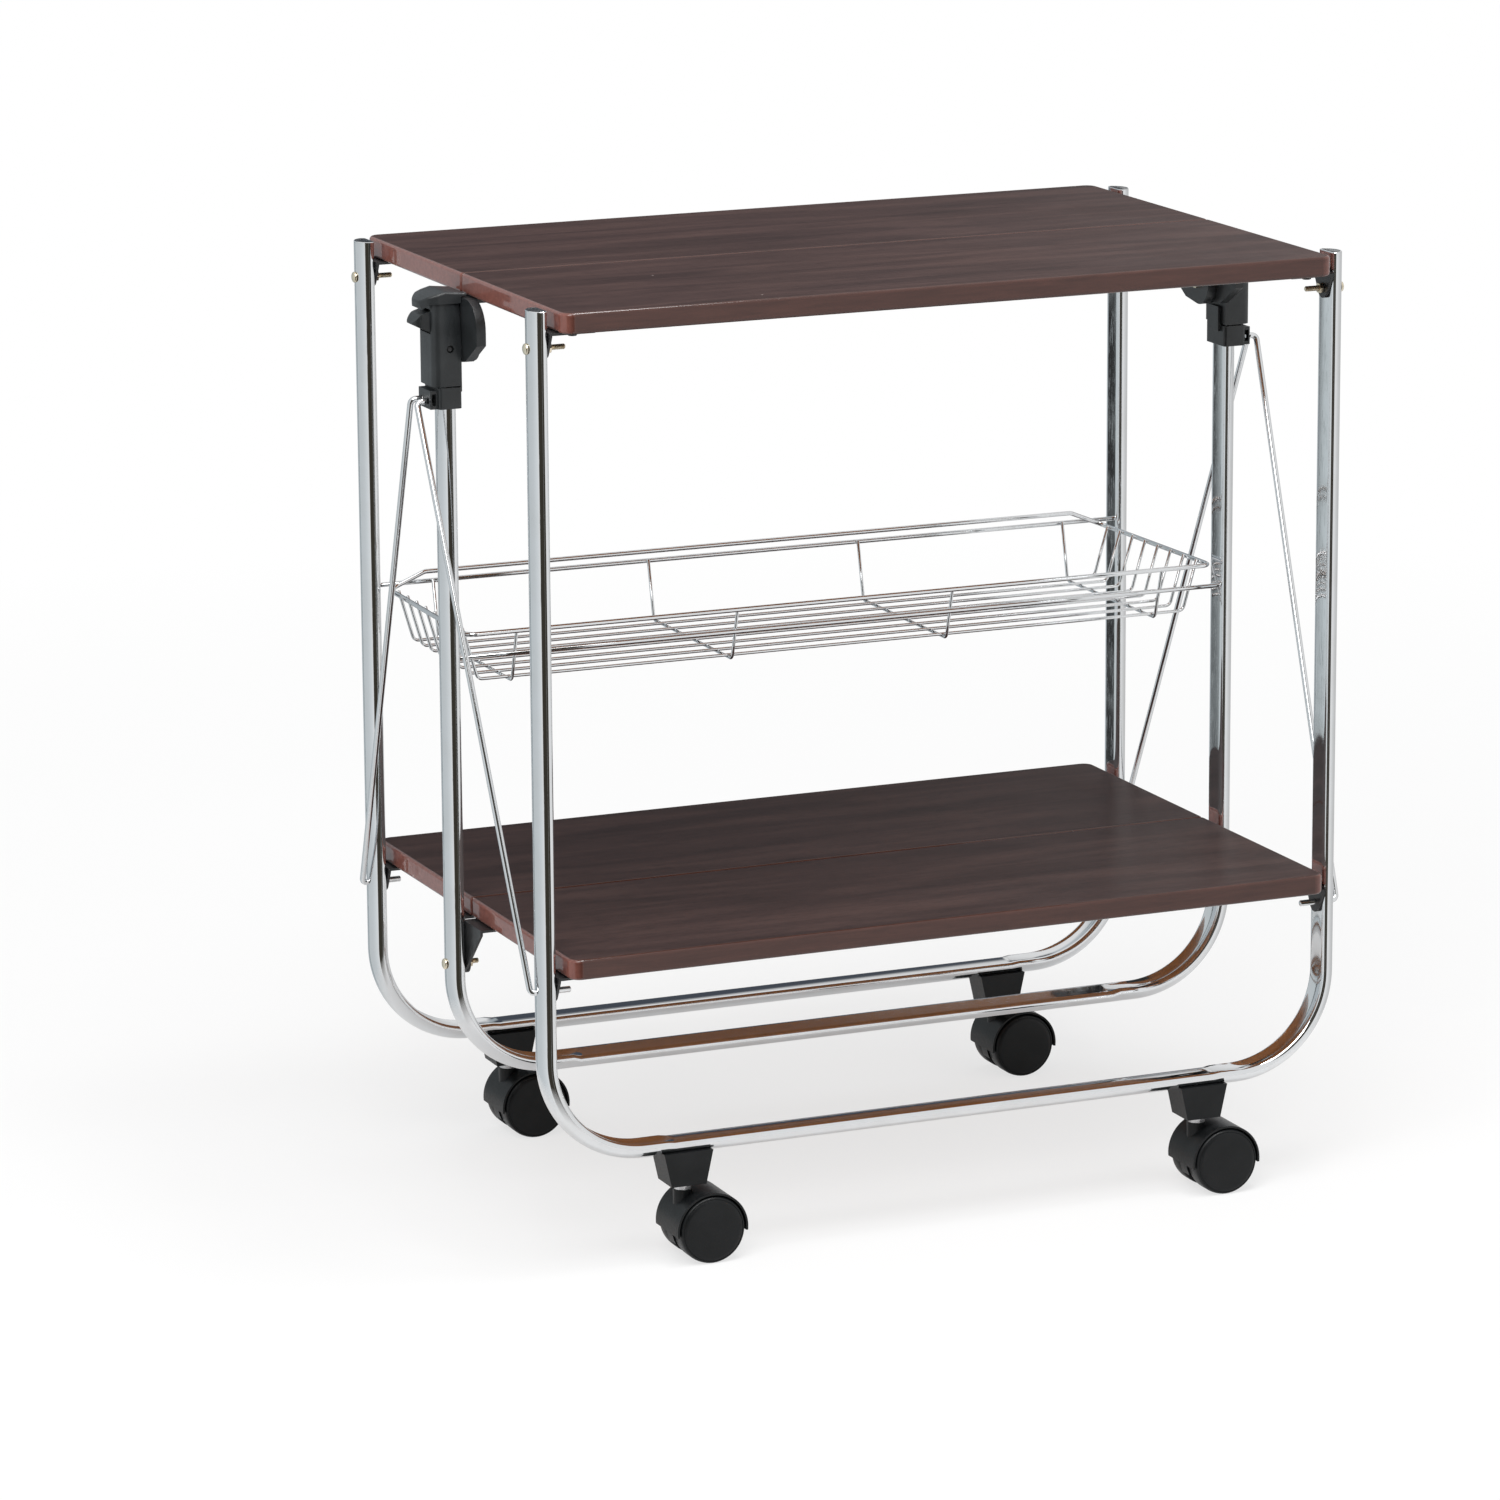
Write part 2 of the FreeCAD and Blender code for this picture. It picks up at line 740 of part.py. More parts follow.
def trigger():
    x = trigger_pin_x
    z = trigger_pin_z
    hub = trigger_hub / 2
    half = trigger_width / 2
    outline = [
        (x, z + hub),
        (x + trigger_back_reach, z + trigger_back_lift),
        (x + trigger_crown_reach, z + trigger_crown_lift),
        (x + trigger_reach, z + trigger_lift),
        (x + trigger_reach, z + trigger_lift - trigger_tip),
        (x + trigger_root_reach, z - trigger_root_drop),
        (x, z - hub),
    ]
    top = z + trigger_back_lift
    block = rounded_tip(x - hub, x + trigger_reach, half, z - trigger_root_drop, top, trigger_corner)
    fin = prism_y(-half, half, outline)
    crown = [e for e in fin.Edges if e.BoundBox.YLength > half and e.BoundBox.XMin > x + trigger_root_reach]
    crown = [e for e in crown if e.BoundBox.ZMin > top - trigger_back_lift / 2]
    wing = fin.makeFillet(trigger_crown_round, crown).common(block)
    body = wing.fuse(rod_y(-half, half, x, z, trigger_hub)).removeSplitter()
    hole = trigger_pin_diameter + 2 * running_gap
    return body.cut(rod_y(-half - overrun, half + overrun, x, z, hole))


def trigger_pin():
    half = trigger_pin_length / 2
    return rod_y(-half, half, trigger_pin_x, trigger_pin_z, trigger_pin_diameter)


# Basket


rail_touch = rail_diameter / 2 + basket_wire / 2 + seat_gap
rim_x = leg_in - rim_gap
rim_z = basket_rear_height - rail_diameter - seat_gap
floor_z = basket_height - floor_drop
cross_z = floor_z - basket_wire - seat_gap
rim_rear_y = frame_y - rail_diameter - seat_gap
rim_slope = rim_splay / (rim_rear_y + rim_front_lean)


def basket_rim():
    """The top rail, one closed wire that steps up behind and widens to the front."""
    rear_z = basket_rear_height + rim_rear_lift
    right = [
        V(rim_x - rim_rear_run, rim_rear_y, rear_z),
        V(rim_x, rim_rear_y, rim_z),
        V(rim_x + rim_splay, -rim_front_lean, rim_z),
    ]
    left = [V(-p.x, p.y, p.z) for p in reversed(right)]
    return bent_wire(right + left, rim_bend, rail_diameter, closed=True)


def pivot_rod(leg, y, z):
    end = leg + rod_end
    return rod_x(-end, end, y, z, rail_diameter)


def long_wire(y):
    """A floor wire that turns up at both ends to the inside of the rim."""
    lean = floor_end_lean / (rim_z - floor_z)
    rail_x = rim_x + rim_slope * (rim_rear_y - y)
    side_x = rail_x - rail_touch * math.hypot(1, lean, rim_slope)
    above = rail_diameter / 2
    right = [V(side_x - floor_end_lean, y, floor_z), V(side_x + above * lean, y, rim_z + above)]
    left = [V(-p.x, p.y, p.z) for p in reversed(right)]
    return bent_wire(left + right, wire_bend, basket_wire)


def cross_wire(x):
    """A wire under the floor, from the rear rod down, forwards and up past the front rod to the rim."""
    above = rail_diameter / 2
    lean = rim_front_lean / (rim_z - basket_height)
    front_y = rail_touch * math.hypot(1, lean)
    rear_lean = rear_post_lean / (basket_rear_height - cross_z)
    rear_y = frame_y - rail_touch * math.hypot(1, rear_lean)
    points = [
        V(x, rear_y + above * rear_lean, basket_rear_height + above),
        V(x, rear_y - rear_post_lean, cross_z),
        V(x, front_y + (basket_height - cross_z) * lean, cross_z),
        V(x, front_y - rim_front_lean, rim_z),
    ]
    return bent_wire(points, wire_bend, basket_wire)


def evenly(first, last, count):
    step = (last - first) / (count - 1)
    return [first + step * i for i in range(count)]


# Casters, built under the right-hand end of an outer bar


def caster_socket():
    bottom = socket_bottom
    top = outer_bar_height + socket_lip
    long_half = socket_top_length / 2
    short_half = socket_bottom_length / 2
    outline = [
        (socket_x - short_half, bottom),
        (socket_x + short_half, bottom),
        (socket_x + long_half, top),
        (socket_x - long_half, top),
    ]
    half = socket_width / 2
    block = prism_y(-half, half, outline)
    bar = bent_bar(leg_in, seat_gap, tube_corner, outer_bar_height, height)
    hole = rod_z(bottom - overrun, top + overrun, socket_x, 0, stem_diameter + 2 * running_gap)
    return block.cut([bar, hole])


def caster_stem():
    top = outer_bar_height + stem_rise
    shoulder = rod_z(hood_top + running_gap, socket_bottom - seat_gap, socket_x, 0, stem_shoulder)
    stem = rod_z(axle_height + stem_socket, top, socket_x, 0, stem_diameter)
    return stem.fuse(shoulder).removeSplitter()


def caster_hood():
    x = socket_x + wheel_offset
    z = axle_height
    inside = wheel_diameter + 2 * hood_gap
    outside = inside + 2 * hood_wall
    half = hood_width / 2
    web = web_thickness / 2
    shell = rod_y(-half, half, x, z, outside)
    shell = shell.cut(rod_y(-half - overrun, half + overrun, x, z, inside))
    shell = shell.cut(box(x - outside, x + outside, -outside, outside, -outside, z - hood_skirt))
    disc = rod_y(-web, web, x, z, outside - web_set_in)
    disc = disc.cut(box(x - outside, x + outside, -outside, outside, -outside, z - web_foot))
    boss = rod_z(z, hood_top, socket_x, 0, web_thickness)
    neck = rod_z(hood_top - hood_neck, hood_top, socket_x, 0, hood_neck)
    wheel_room = rod_y(web, half + overrun, x, z, inside)
    cuts = [wheel_room, flipped(wheel_room)]
    cuts.append(rod_y(-half, half, x, z, axle_diameter + 2 * running_gap))
    stem = stem_diameter + 2 * running_gap
    cuts.append(rod_z(z + stem_socket - side_gap, hood_top + overrun, socket_x, 0, stem))
    return shell.fuse([disc, boss, neck]).removeSplitter().cut(cuts)


def wheel():
    """The rear wheel of a pair."""
    x = socket_x + wheel_offset
    inner = web_thickness / 2 + wheel_gap
    disc = rod_y(inner, inner + wheel_width, x, axle_height, wheel_diameter)
    outer = [e for e in disc.Edges if e.BoundBox.YMin > inner + wheel_width / 2]
    disc = disc.makeFillet(wheel_edge, outer)
    depth_in = axle_length / 2 + side_gap
    return disc.cut(rod_y(inner - overrun, depth_in, x, axle_height, axle_diameter + running_gap))


def axle():
    half = axle_length / 2
    return rod_y(-half, half, socket_x + wheel_offset, axle_height, axle_diameter)


# Writing the pieces: frames and their plugs

outer_plugs = both_ends(leg_plug())
export("rear_frame_tube", [at_frame(outer_frame(True), frame_y)])
export("front_frame_tube", [at_frame(outer_frame(False), -frame_y)])
export("middle_frame_tube", [middle_frame()])
export("rear_leg_plugs", [at_frame(plug, frame_y) for plug in outer_plugs])
export("front_leg_plugs", [at_frame(plug, -frame_y) for plug in outer_plugs])

# Boards with their brackets and screws. The front board's bracket lies outside the rear board's.

leg_places = [(x, frame_y + y) for x, y in leg_bracket_screws()]


def board_set(name, top, centre_places, leg_hinge, centre_hinge, sheet, front):
    places = leg_places + centre_places
    places = places + [(-x, y) for x, y in places]
    underside = top - board_thickness
    heads = {place: underside - bracket_sheet for place in places}
    for x, y in centre_places:
        heads[(x, y)] = underside - sheet
        heads[(-x, y)] = underside - sheet
    side = flipped if front else (lambda shape: shape)
    screws = [wood_screw(x, y, heads[(x, y)]) for x, y in places]
    export(name + "_board", [side(drilled_board(top, places))])
    export(name + "_leg_brackets", [side(s) for s in both_ends(at_frame(leg_hinge, frame_y))])
    export(name + "_centre_brackets", [side(s) for s in both_ends(centre_hinge)])
    export(name + "_bracket_screws", [side(s) for s in screws])


upper_leg_hinge = leg_bracket(upper_underside, bolt_diameter)
lower_leg_hinge = leg_bracket(lower_underside, strut_diameter)
upper_places = hinge_plate_screws()
lower_places = centre_bracket_screws()
upper_rear_hinge = hinge_plate_bracket(second_plate_out)
upper_front_hinge = hinge_plate_bracket(plate_out)
lower_rear_hinge = centre_bracket(second_tab_out)
lower_front_hinge = centre_bracket(middle_tab_out)
lower_top = lower_shelf_height
plate_sheet = hinge_plate_flange
board_set("upper_rear", height, upper_places, upper_leg_hinge, upper_rear_hinge, plate_sheet, False)
board_set("upper_front", height, upper_places, upper_leg_hinge, upper_front_hinge, plate_sheet, True)
board_set("lower_rear", lower_top, lower_places, lower_leg_hinge, lower_rear_hinge, bracket_sheet, False)
board_set("lower_front", lower_top, lower_places, lower_leg_hinge, lower_front_hinge, bracket_sheet, True)

# Pivot bolts and nuts

outer_bolts = both_ends(pivot_bolt(leg_out, tab_in - nut_thickness - bolt_tail, upper_pivot))
outer_nuts = both_ends(nut(tab_in - side_gap, upper_pivot))
export("rear_pivot_bolts", [at_frame(s, frame_y) for s in outer_bolts])
export("front_pivot_bolts", [at_frame(s, -frame_y) for s in outer_bolts])
export("rear_pivot_nuts", [at_frame(s, frame_y) for s in outer_nuts])
export("front_pivot_nuts", [at_frame(s, -frame_y) for s in outer_nuts])
upper_tip = second_plate_in - nut_thickness - bolt_tail / 2
lower_tip = second_tab_in - nut_thickness - bolt_tail / 2
centre_bolts = both_ends(pivot_bolt(middle_out, upper_tip, upper_centre))
centre_bolts = centre_bolts + both_ends(pivot_bolt(middle_out, lower_tip, lower_centre))
centre_nuts = both_ends(nut(second_plate_in - side_gap, upper_centre))
centre_nuts = centre_nuts + both_ends(nut(second_tab_in - side_gap, lower_centre))
export("centre_pivot_bolts", centre_bolts)
export("centre_pivot_nuts", centre_nuts)

# Struts, the same bend at all four corners

rear_right = strut()
export("rear_right_strut", [rear_right])
export("front_right_strut", [flipped(rear_right)])
export("front_left_strut", [turned(rear_right)])
export("rear_left_strut", [mirrored(rear_right)])

# Collars, housings, grips and triggers

for name, piece in (
    ("collar", collar()),
    ("grip_housing", grip_housing()),
    ("palm_grip", palm_grip()),
    ("trigger", trigger()),
):
    export("right_" + name, [piece])
    export("left_" + name, [turned(piece)])
export("trigger_pins", both_ends(trigger_pin()))
rear_screws = both_ends(housing_screw())
export("housing_screws", rear_screws + [flipped(s) for s in rear_screws])

# Basket

export("basket_rim", [basket_rim()])
rods = [pivot_rod(leg_in, frame_y, basket_rear_height), pivot_rod(middle_in, 0, basket_height)]
export("basket_pivot_rods", rods)
long_places = evenly(long_wire_first, rim_rear_y - long_wire_rear_gap, long_wire_count)
export("basket_long_wires", [long_wire(y) for y in long_places])
cross_places = evenly(-cross_wire_first, cross_wire_first, cross_wire_count)
export("basket_cross_wires", [cross_wire(x) for x in cross_places])

# Casters: all four trail the same way, as the photograph shows them

socket = caster_socket()
stem = caster_stem()
hood = caster_hood()
wheels = [wheel(), flipped(wheel()), axle()]
caster_pieces = [("_caster_socket", [socket]), ("_caster_hood", [hood]), ("_wheel_pair", wheels)]
for row, y in (("rear", frame_y), ("front", -frame_y)):
    export(row + "_caster_stems", [at_frame(s, y) for s in both_ends(stem)])
    for side, shift in (("right", 0), ("left", -socket_spacing)):
        name = row + "_" + side
        corner = V(shift, y, 0)
        for label, solids in caster_pieces:
            placed = [s.copy() for s in solids]
            for s in placed:
                s.translate(corner)
            export(name + label, placed)
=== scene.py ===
import json
import math

import bmesh
import bpy
from mathutils import Matrix, Vector


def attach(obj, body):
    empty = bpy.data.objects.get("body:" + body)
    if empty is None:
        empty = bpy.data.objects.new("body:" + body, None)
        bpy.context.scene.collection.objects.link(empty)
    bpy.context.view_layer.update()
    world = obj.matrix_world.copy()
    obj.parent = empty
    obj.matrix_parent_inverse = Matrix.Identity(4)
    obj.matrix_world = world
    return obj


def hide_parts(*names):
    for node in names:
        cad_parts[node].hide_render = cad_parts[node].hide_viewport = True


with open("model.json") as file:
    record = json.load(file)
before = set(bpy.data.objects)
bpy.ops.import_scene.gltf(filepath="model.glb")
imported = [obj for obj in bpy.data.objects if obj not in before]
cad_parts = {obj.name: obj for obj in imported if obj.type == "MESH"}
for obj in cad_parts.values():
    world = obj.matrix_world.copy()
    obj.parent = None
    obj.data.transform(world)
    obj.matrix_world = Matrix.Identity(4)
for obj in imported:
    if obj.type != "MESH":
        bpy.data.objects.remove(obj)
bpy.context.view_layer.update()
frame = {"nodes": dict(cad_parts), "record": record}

# Camera
# Stands in front of the trolley's left end, a little above it, with a long lens as in the photograph.
# The picture is square, so the sensor's width is its height too.

camera_place = Vector((-1.9471, -4.4008, 1.4434))
camera_yaw = math.radians(23.018)
camera_pitch = math.radians(13.141)
camera_roll = math.radians(-0.389)
focal_share = 6614.05 / 1500
film_width = 36

ahead = Vector((math.sin(camera_yaw) * math.cos(camera_pitch),
                math.cos(camera_yaw) * math.cos(camera_pitch),
                -math.sin(camera_pitch)))
level = Vector((math.cos(camera_yaw), -math.sin(camera_yaw), 0))
upward = level.cross(ahead)
camera_right = level * math.cos(camera_roll) + upward * math.sin(camera_roll)
camera_up = upward * math.cos(camera_roll) - level * math.sin(camera_roll)
camera_axes = Matrix((camera_right, camera_up, -ahead)).transposed()
camera = bpy.data.objects.new("camera", bpy.data.cameras.new("camera"))
bpy.context.collection.objects.link(camera)
camera.matrix_world = Matrix.Translation(camera_place) @ camera_axes.to_4x4()
camera.data.sensor_width = film_width
camera.data.lens = film_width * focal_share
camera.data.clip_start = 0.1
camera.data.clip_end = 60
bpy.context.scene.camera = camera
bpy.context.scene.view_settings.view_transform = "Standard"

# Studio
# A pale sheet of paper under a large soft lamp from the front left and two overhead. The room is white to
# the eye. The walls that the chrome mirrors are grey, with a dark screen round the camera, two narrow dark
# gaps behind the trolley and a brighter window behind its right end.


def fill(made, tree, inputs):
    """Links the inputs that are given as sockets and sets the others."""
    for key, value in inputs.items():
        if isinstance(value, bpy.types.NodeSocket):
            tree.links.new(value, made.inputs[key])
        else:
            made.inputs[key].default_value = value
    return made


def place(tree, kind, inputs=None, **settings):
    """Adds a node with its settings and inputs."""
    made = tree.nodes.new(kind)
    for key, value in settings.items():
        setattr(made, key, value)
    return fill(made, tree, inputs or {})


def ramp(tree, factor, stops):
    """A colour ramp through (position, grey or colour) stops."""
    made = place(tree, "ShaderNodeValToRGB", {"Fac": factor})
    elements = made.color_ramp.elements
    elements.remove(elements[1])
    for i, (position, colour) in enumerate(stops):
        element = elements[0] if i == 0 else elements.new(position)
        element.position = position
        rgb = (colour, colour, colour) if isinstance(colour, float) else colour
        element.color = (*rgb, 1)
    return made.outputs["Color"]


def blended(tree, factor, first, second):
    """The mix of two sockets or colours by a factor socket."""
    made = place(tree, "ShaderNodeMix", {0: factor}, data_type="RGBA")
    colours = [s for s in made.inputs if s.type == "RGBA"]
    for socket, value in zip(colours, (first, second)):
        if isinstance(value, bpy.types.NodeSocket):
            tree.links.new(value, socket)
        else:
            socket.default_value = (*value, 1)
    return [s for s in made.outputs if s.type == "RGBA"][0]


room = bpy.data.worlds.new("studio_room")
bpy.context.scene.world = room
room.use_nodes = True
tree = room.node_tree
tree.nodes.clear()
direction = place(tree, "ShaderNodeTexCoord").outputs["Generated"]
along = place(tree, "ShaderNodeSeparateXYZ", {"Vector": direction})
towards = place(tree, "ShaderNodeMath", {0: along.outputs["Y"], 1: -1.0}, operation="MULTIPLY")
bearing = place(tree, "ShaderNodeMath", {0: along.outputs["X"], 1: towards.outputs[0]},
                operation="ARCTAN2")
turn = place(tree, "ShaderNodeMapRange", {"Value": bearing.outputs[0], "From Min": -math.pi,
                                          "From Max": math.pi})
rear_wall = (0.50, 0.55, 0.58)
rear_gap = (0.07, 0.08, 0.10)
window = 0.80
screen = (0.05, 0.045, 0.035)
walls = ramp(tree, turn.outputs["Result"], [
    (0.0, rear_wall), (0.066, rear_wall), (0.068, 0.03), (0.0742, 0.03), (0.0762, (0.64, 0.70, 0.72)),
    (0.14, (0.66, 0.70, 0.72)), (0.22, (0.70, 0.74, 0.76)), (0.30, (0.82, 0.86, 0.88)), (0.332, 0.95),
    (0.339, screen), (0.428, screen), (0.432, 0.5), (0.437, screen), (0.517, screen),
    (0.526, 0.97), (0.66, 0.93), (0.80, 0.70), (0.86, 0.62), (0.885, window), (0.922, window),
    (0.930, rear_gap), (0.955, rear_gap), (0.968, rear_wall), (1.0, rear_wall)])
rise = ramp(tree, along.outputs["Z"], [(0.5, 0.0), (0.8, 1.0)])
studio = blended(tree, rise, walls, (0.95, 0.95, 0.95))
seen = place(tree, "ShaderNodeLightPath")
lit = place(tree, "ShaderNodeBackground", {"Color": studio, "Strength": 0.9})
white = place(tree, "ShaderNodeBackground", {"Color": (1, 1, 1, 1), "Strength": 1.0})
room_mix = place(tree, "ShaderNodeMixShader", {0: seen.outputs["Is Camera Ray"],
                                               1: lit.outputs[0], 2: white.outputs[0]})
place(tree, "ShaderNodeOutputWorld", {"Surface": room_mix.outputs[0]})

floor_mesh = bpy.data.meshes.new("floor")
floor_reach = 12.0
floor_mesh.from_pydata([(-floor_reach, -floor_reach, 0), (floor_reach, -floor_reach, 0),
                        (floor_reach, floor_reach, 0), (-floor_reach, floor_reach, 0)],
                       [], [(0, 1, 2, 3)])
floor = bpy.data.objects.new("floor", floor_mesh)
bpy.context.collection.objects.link(floor)
paper = bpy.data.materials.new("white_paper")
paper.use_nodes = True
tree = paper.node_tree
tree.nodes.clear()
spot = place(tree, "ShaderNodeTexCoord").outputs["Object"]
fibre = place(tree, "ShaderNodeTexNoise", {"Vector": spot, "Scale": 3.0, "Detail": 2.0})
tint = ramp(tree, fibre.outputs["Fac"], [(0.3, 0.77), (0.7, 0.79)])
matt = place(tree, "ShaderNodeBsdfDiffuse", {"Color": tint, "Roughness": 0.8})
glow = place(tree, "ShaderNodeEmission", {"Color": (1, 1, 1, 1), "Strength": 1.0})
away = place(tree, "ShaderNodeVectorMath", {0: spot}, operation="LENGTH")
seen = place(tree, "ShaderNodeLightPath")
paleness = place(tree, "ShaderNodeMapRange", {"Value": away.outputs["Value"], "From Min": 0.5,
                                              "From Max": 2.4, "To Min": 0.70, "To Max": 1.0})
mirrored_paleness = 0.45
eye = place(tree, "ShaderNodeMath", {0: seen.outputs["Is Glossy Ray"], 1: mirrored_paleness,
                                     2: seen.outputs["Is Camera Ray"]}, operation="MULTIPLY_ADD")
share = place(tree, "ShaderNodeMath", {0: eye.outputs[0], 1: paleness.outputs["Result"]},
              operation="MULTIPLY")
laid = place(tree, "ShaderNodeMixShader", {0: share.outputs[0], 1: matt.outputs[0], 2: glow.outputs[0]})
# In a mirror the paper ends just past the trolley, and the room shows there.
beyond = place(tree, "ShaderNodeMapRange", {"Value": away.outputs["Value"], "From Min": 0.42,
                                            "From Max": 0.6})
mirrored_past = place(tree, "ShaderNodeMath", {0: seen.outputs["Is Glossy Ray"],
                                               1: beyond.outputs["Result"]}, operation="MULTIPLY")
open_air = place(tree, "ShaderNodeBsdfTransparent")
sheet = place(tree, "ShaderNodeMixShader", {0: mirrored_past.outputs[0], 1: laid.outputs[0],
                                            2: open_air.outputs[0]})
place(tree, "ShaderNodeOutputMaterial", {"Surface": sheet.outputs[0]})
floor_mesh.materials.append(paper)

aim = Vector((0, 0, 0.35))
for name, spot, size, power in (("key_lamp", (-1.6, -1.9, 2.6), 1.6, 38),
                                ("overhead_lamp", (-0.2, -0.95, 2.3), 1.3, 18),
                                ("small_lamp", (0.30, -0.45, 2.5), 0.42, 12)):
    lamp = bpy.data.objects.new(name, bpy.data.lights.new(name, "AREA"))
    lamp.data.size = size
    lamp.data.energy = power
    lamp.location = spot
    lamp.rotation_euler = (aim - Vector(spot)).to_track_quat("-Z", "Y").to_euler()
    bpy.context.collection.objects.link(lamp)

# Tube frames
# Three U-shaped frames of half-round steel tube, bent flat side inwards and chromed all over. The bending
# pinches the flat wall in the bends and leaves the two outer bars' flats crowned past a crease, the middle
# one's leaning forwards. Black plugs close the outer legs' tops.

body_of = {node: body for body, nodes in frame["record"]["behaviour"]["bodies"].items() for node in nodes}


def finish_named(name):
    """A material that holds a Principled shader and its output, with its node tree and that shader."""
    material = bpy.data.materials.new(name)
    material.use_nodes = True
    tree = material.node_tree
    tree.nodes.clear()
    surface = place(tree, "ShaderNodeBsdfPrincipled")
    place(tree, "ShaderNodeOutputMaterial", {"Surface": surface.outputs[0]})
    return material, tree, surface


def effect_group(name, inputs, outputs):
    """An empty shader node group with (name, kind, value) inputs and (name, kind) outputs."""
    group = bpy.data.node_groups.new(name, "ShaderNodeTree")
    for label, kind, value in inputs:
        socket = group.interface.new_socket(label, in_out="INPUT", socket_type="NodeSocket" + kind)
        if value is not None:
            socket.default_value = value
    for label, kind in outputs:
        group.interface.new_socket(label, in_out="OUTPUT", socket_type="NodeSocket" + kind)
    return group, group.nodes.new("NodeGroupInput"), group.nodes.new("NodeGroupOutput")


def with_effect(tree, group, inputs):
    """A use of a shader group in a material."""
    return place(tree, "ShaderNodeGroup", inputs, node_tree=group)


# Wiping leaves faint smudges and, along the wiping direction, hair-thin scratches.
marks, marks_in, marks_out = effect_group(
    "wiping_marks",
    [("Place", "Vector", None), ("Smudge Scale", "Float", 18.0), ("Scratch Scale", "Float", 900.0)],
    [("Smudge", "Float"), ("Scratch", "Float")])
smear = place(marks, "ShaderNodeTexNoise", {
    "Vector": marks_in.outputs["Place"], "Scale": marks_in.outputs["Smudge Scale"], "Detail": 5.0,
    "Roughness": 0.6, "Distortion": 0.4})
smear_range = place(marks, "ShaderNodeMapRange", {"Value": smear.outputs["Fac"], "From Min": 0.42,
                                                  "From Max": 0.72})
stretch = place(marks, "ShaderNodeVectorMath", {0: marks_in.outputs["Place"], 1: (0.12, 1.0, 0.06)},
                operation="MULTIPLY")
hair = place(marks, "ShaderNodeTexNoise", {
    "Vector": stretch.outputs[0], "Scale": marks_in.outputs["Scratch Scale"], "Detail": 3.0})
hair_range = place(marks, "ShaderNodeMapRange", {"Value": hair.outputs["Fac"], "From Min": 0.6,
                                                 "From Max": 0.75})
marks.links.new(smear_range.outputs["Result"], marks_out.inputs["Smudge"])
marks.links.new(hair_range.outputs["Result"], marks_out.inputs["Scratch"])

chrome, tree, surface = finish_named("polished_chrome")
spot = place(tree, "ShaderNodeTexCoord").outputs["Object"]
wiped = with_effect(tree, marks, {"Place": spot, "Smudge Scale": 22.0, "Scratch Scale": 1100.0})
chrome_tone = ramp(tree, wiped.outputs["Smudge"], [(0.0, (0.80, 0.815, 0.83)), (1.0, (0.76, 0.77, 0.775))])
chrome_gloss = place(tree, "ShaderNodeMapRange", {"Value": wiped.outputs["Smudge"], "To Min": 0.045,
                                                  "To Max": 0.10})
chrome_bump = place(tree, "ShaderNodeBump", {"Height": wiped.outputs["Scratch"], "Strength": 0.03,
                                             "Distance": 0.0002})
fill(surface, tree, {"Base Color": chrome_tone, "Roughness": chrome_gloss.outputs["Result"],
                     "Normal": chrome_bump.outputs["Normal"], "Metallic": 1.0})

plug_black, tree, surface = finish_named("plug_black")
spot = place(tree, "ShaderNodeTexCoord").outputs["Object"]
wiped = with_effect(tree, marks, {"Place": spot, "Smudge Scale": 60.0, "Scratch Scale": 1500.0})
plug_gloss = place(tree, "ShaderNodeMapRange", {"Value": wiped.outputs["Smudge"], "To Min": 0.16,
                                                "To Max": 0.34})
plug_tone = ramp(tree, wiped.outputs["Smudge"], [(0.0, (0.028, 0.029, 0.031)), (1.0, (0.05, 0.05, 0.052))])
plug_bump = place(tree, "ShaderNodeBump", {"Height": wiped.outputs["Scratch"], "Strength": 0.1,
                                           "Distance": 0.0003})
fill(surface, tree, {"Base Color": plug_tone, "Roughness": plug_gloss.outputs["Result"],
                     "Normal": plug_bump.outputs["Normal"]})


def made_piece(name, points, faces, material, crease=35):
    """A smooth-shaded mesh object whose edges sharper than the crease stay crisp."""
    mesh = bpy.data.meshes.new(name)
    mesh.from_pydata(points, [], faces)
    shape = bmesh.new()
    shape.from_mesh(mesh)
    bmesh.ops.remove_doubles(shape, verts=shape.verts, dist=1e-7)
    bmesh.ops.recalc_face_normals(shape, faces=shape.faces)
    shape.to_mesh(mesh)
    shape.free()
    mesh.polygons.foreach_set("use_smooth", [True] * len(mesh.polygons))
    mesh.set_sharp_from_angle(angle=math.radians(crease))
    mesh.materials.append(material)
    piece = bpy.data.objects.new(name, mesh)
    bpy.context.collection.objects.link(piece)
    return piece


def stands_for(piece, *nodes):
    """The piece takes the place of nodes of one body."""
    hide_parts(*nodes)
    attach(piece, body_of[nodes[0]])


def carried_through(rows, closed=False):
    """Points and faces of a skin through rows of equally many points."""
    count = len(rows[0])
    faces = []
    for i in range(len(rows) if closed else len(rows) - 1):
        for j in range(count):
            k = (j + 1) % count
            near = i * count
            far = (i + 1) % len(rows) * count
            faces.append((near + j, near + k, far + k, far + j))
    return [point for row in rows for point in row], faces


tube_deep = 0.012
tube_round = 0.01251
tube_corner = 0.00345
tube_wall = 0.0012
tube_bend = 0.080
bore_depth = 0.014
end_rounding = 0.0004
outer_leg = 0.306
outer_bar = 0.080
outer_top = 0.700
middle_leg = 0.309
middle_bar = 0.100
middle_top = 0.679
leg_drops = (0.00004, 0.0, 0.00004)
crowned = (0.0008, 0.0, 0.0008)
leaning = (0.0019, 0.00095, 0.0)
pinched = (0.0, 0.0028, 0.0)
crease_place = 0.016
crease_end = 0.022
crease_settled = 0.025
frame_y = 0.175
flat_steps = 12
corner_steps = 6
round_steps = 24
bend_steps = 28


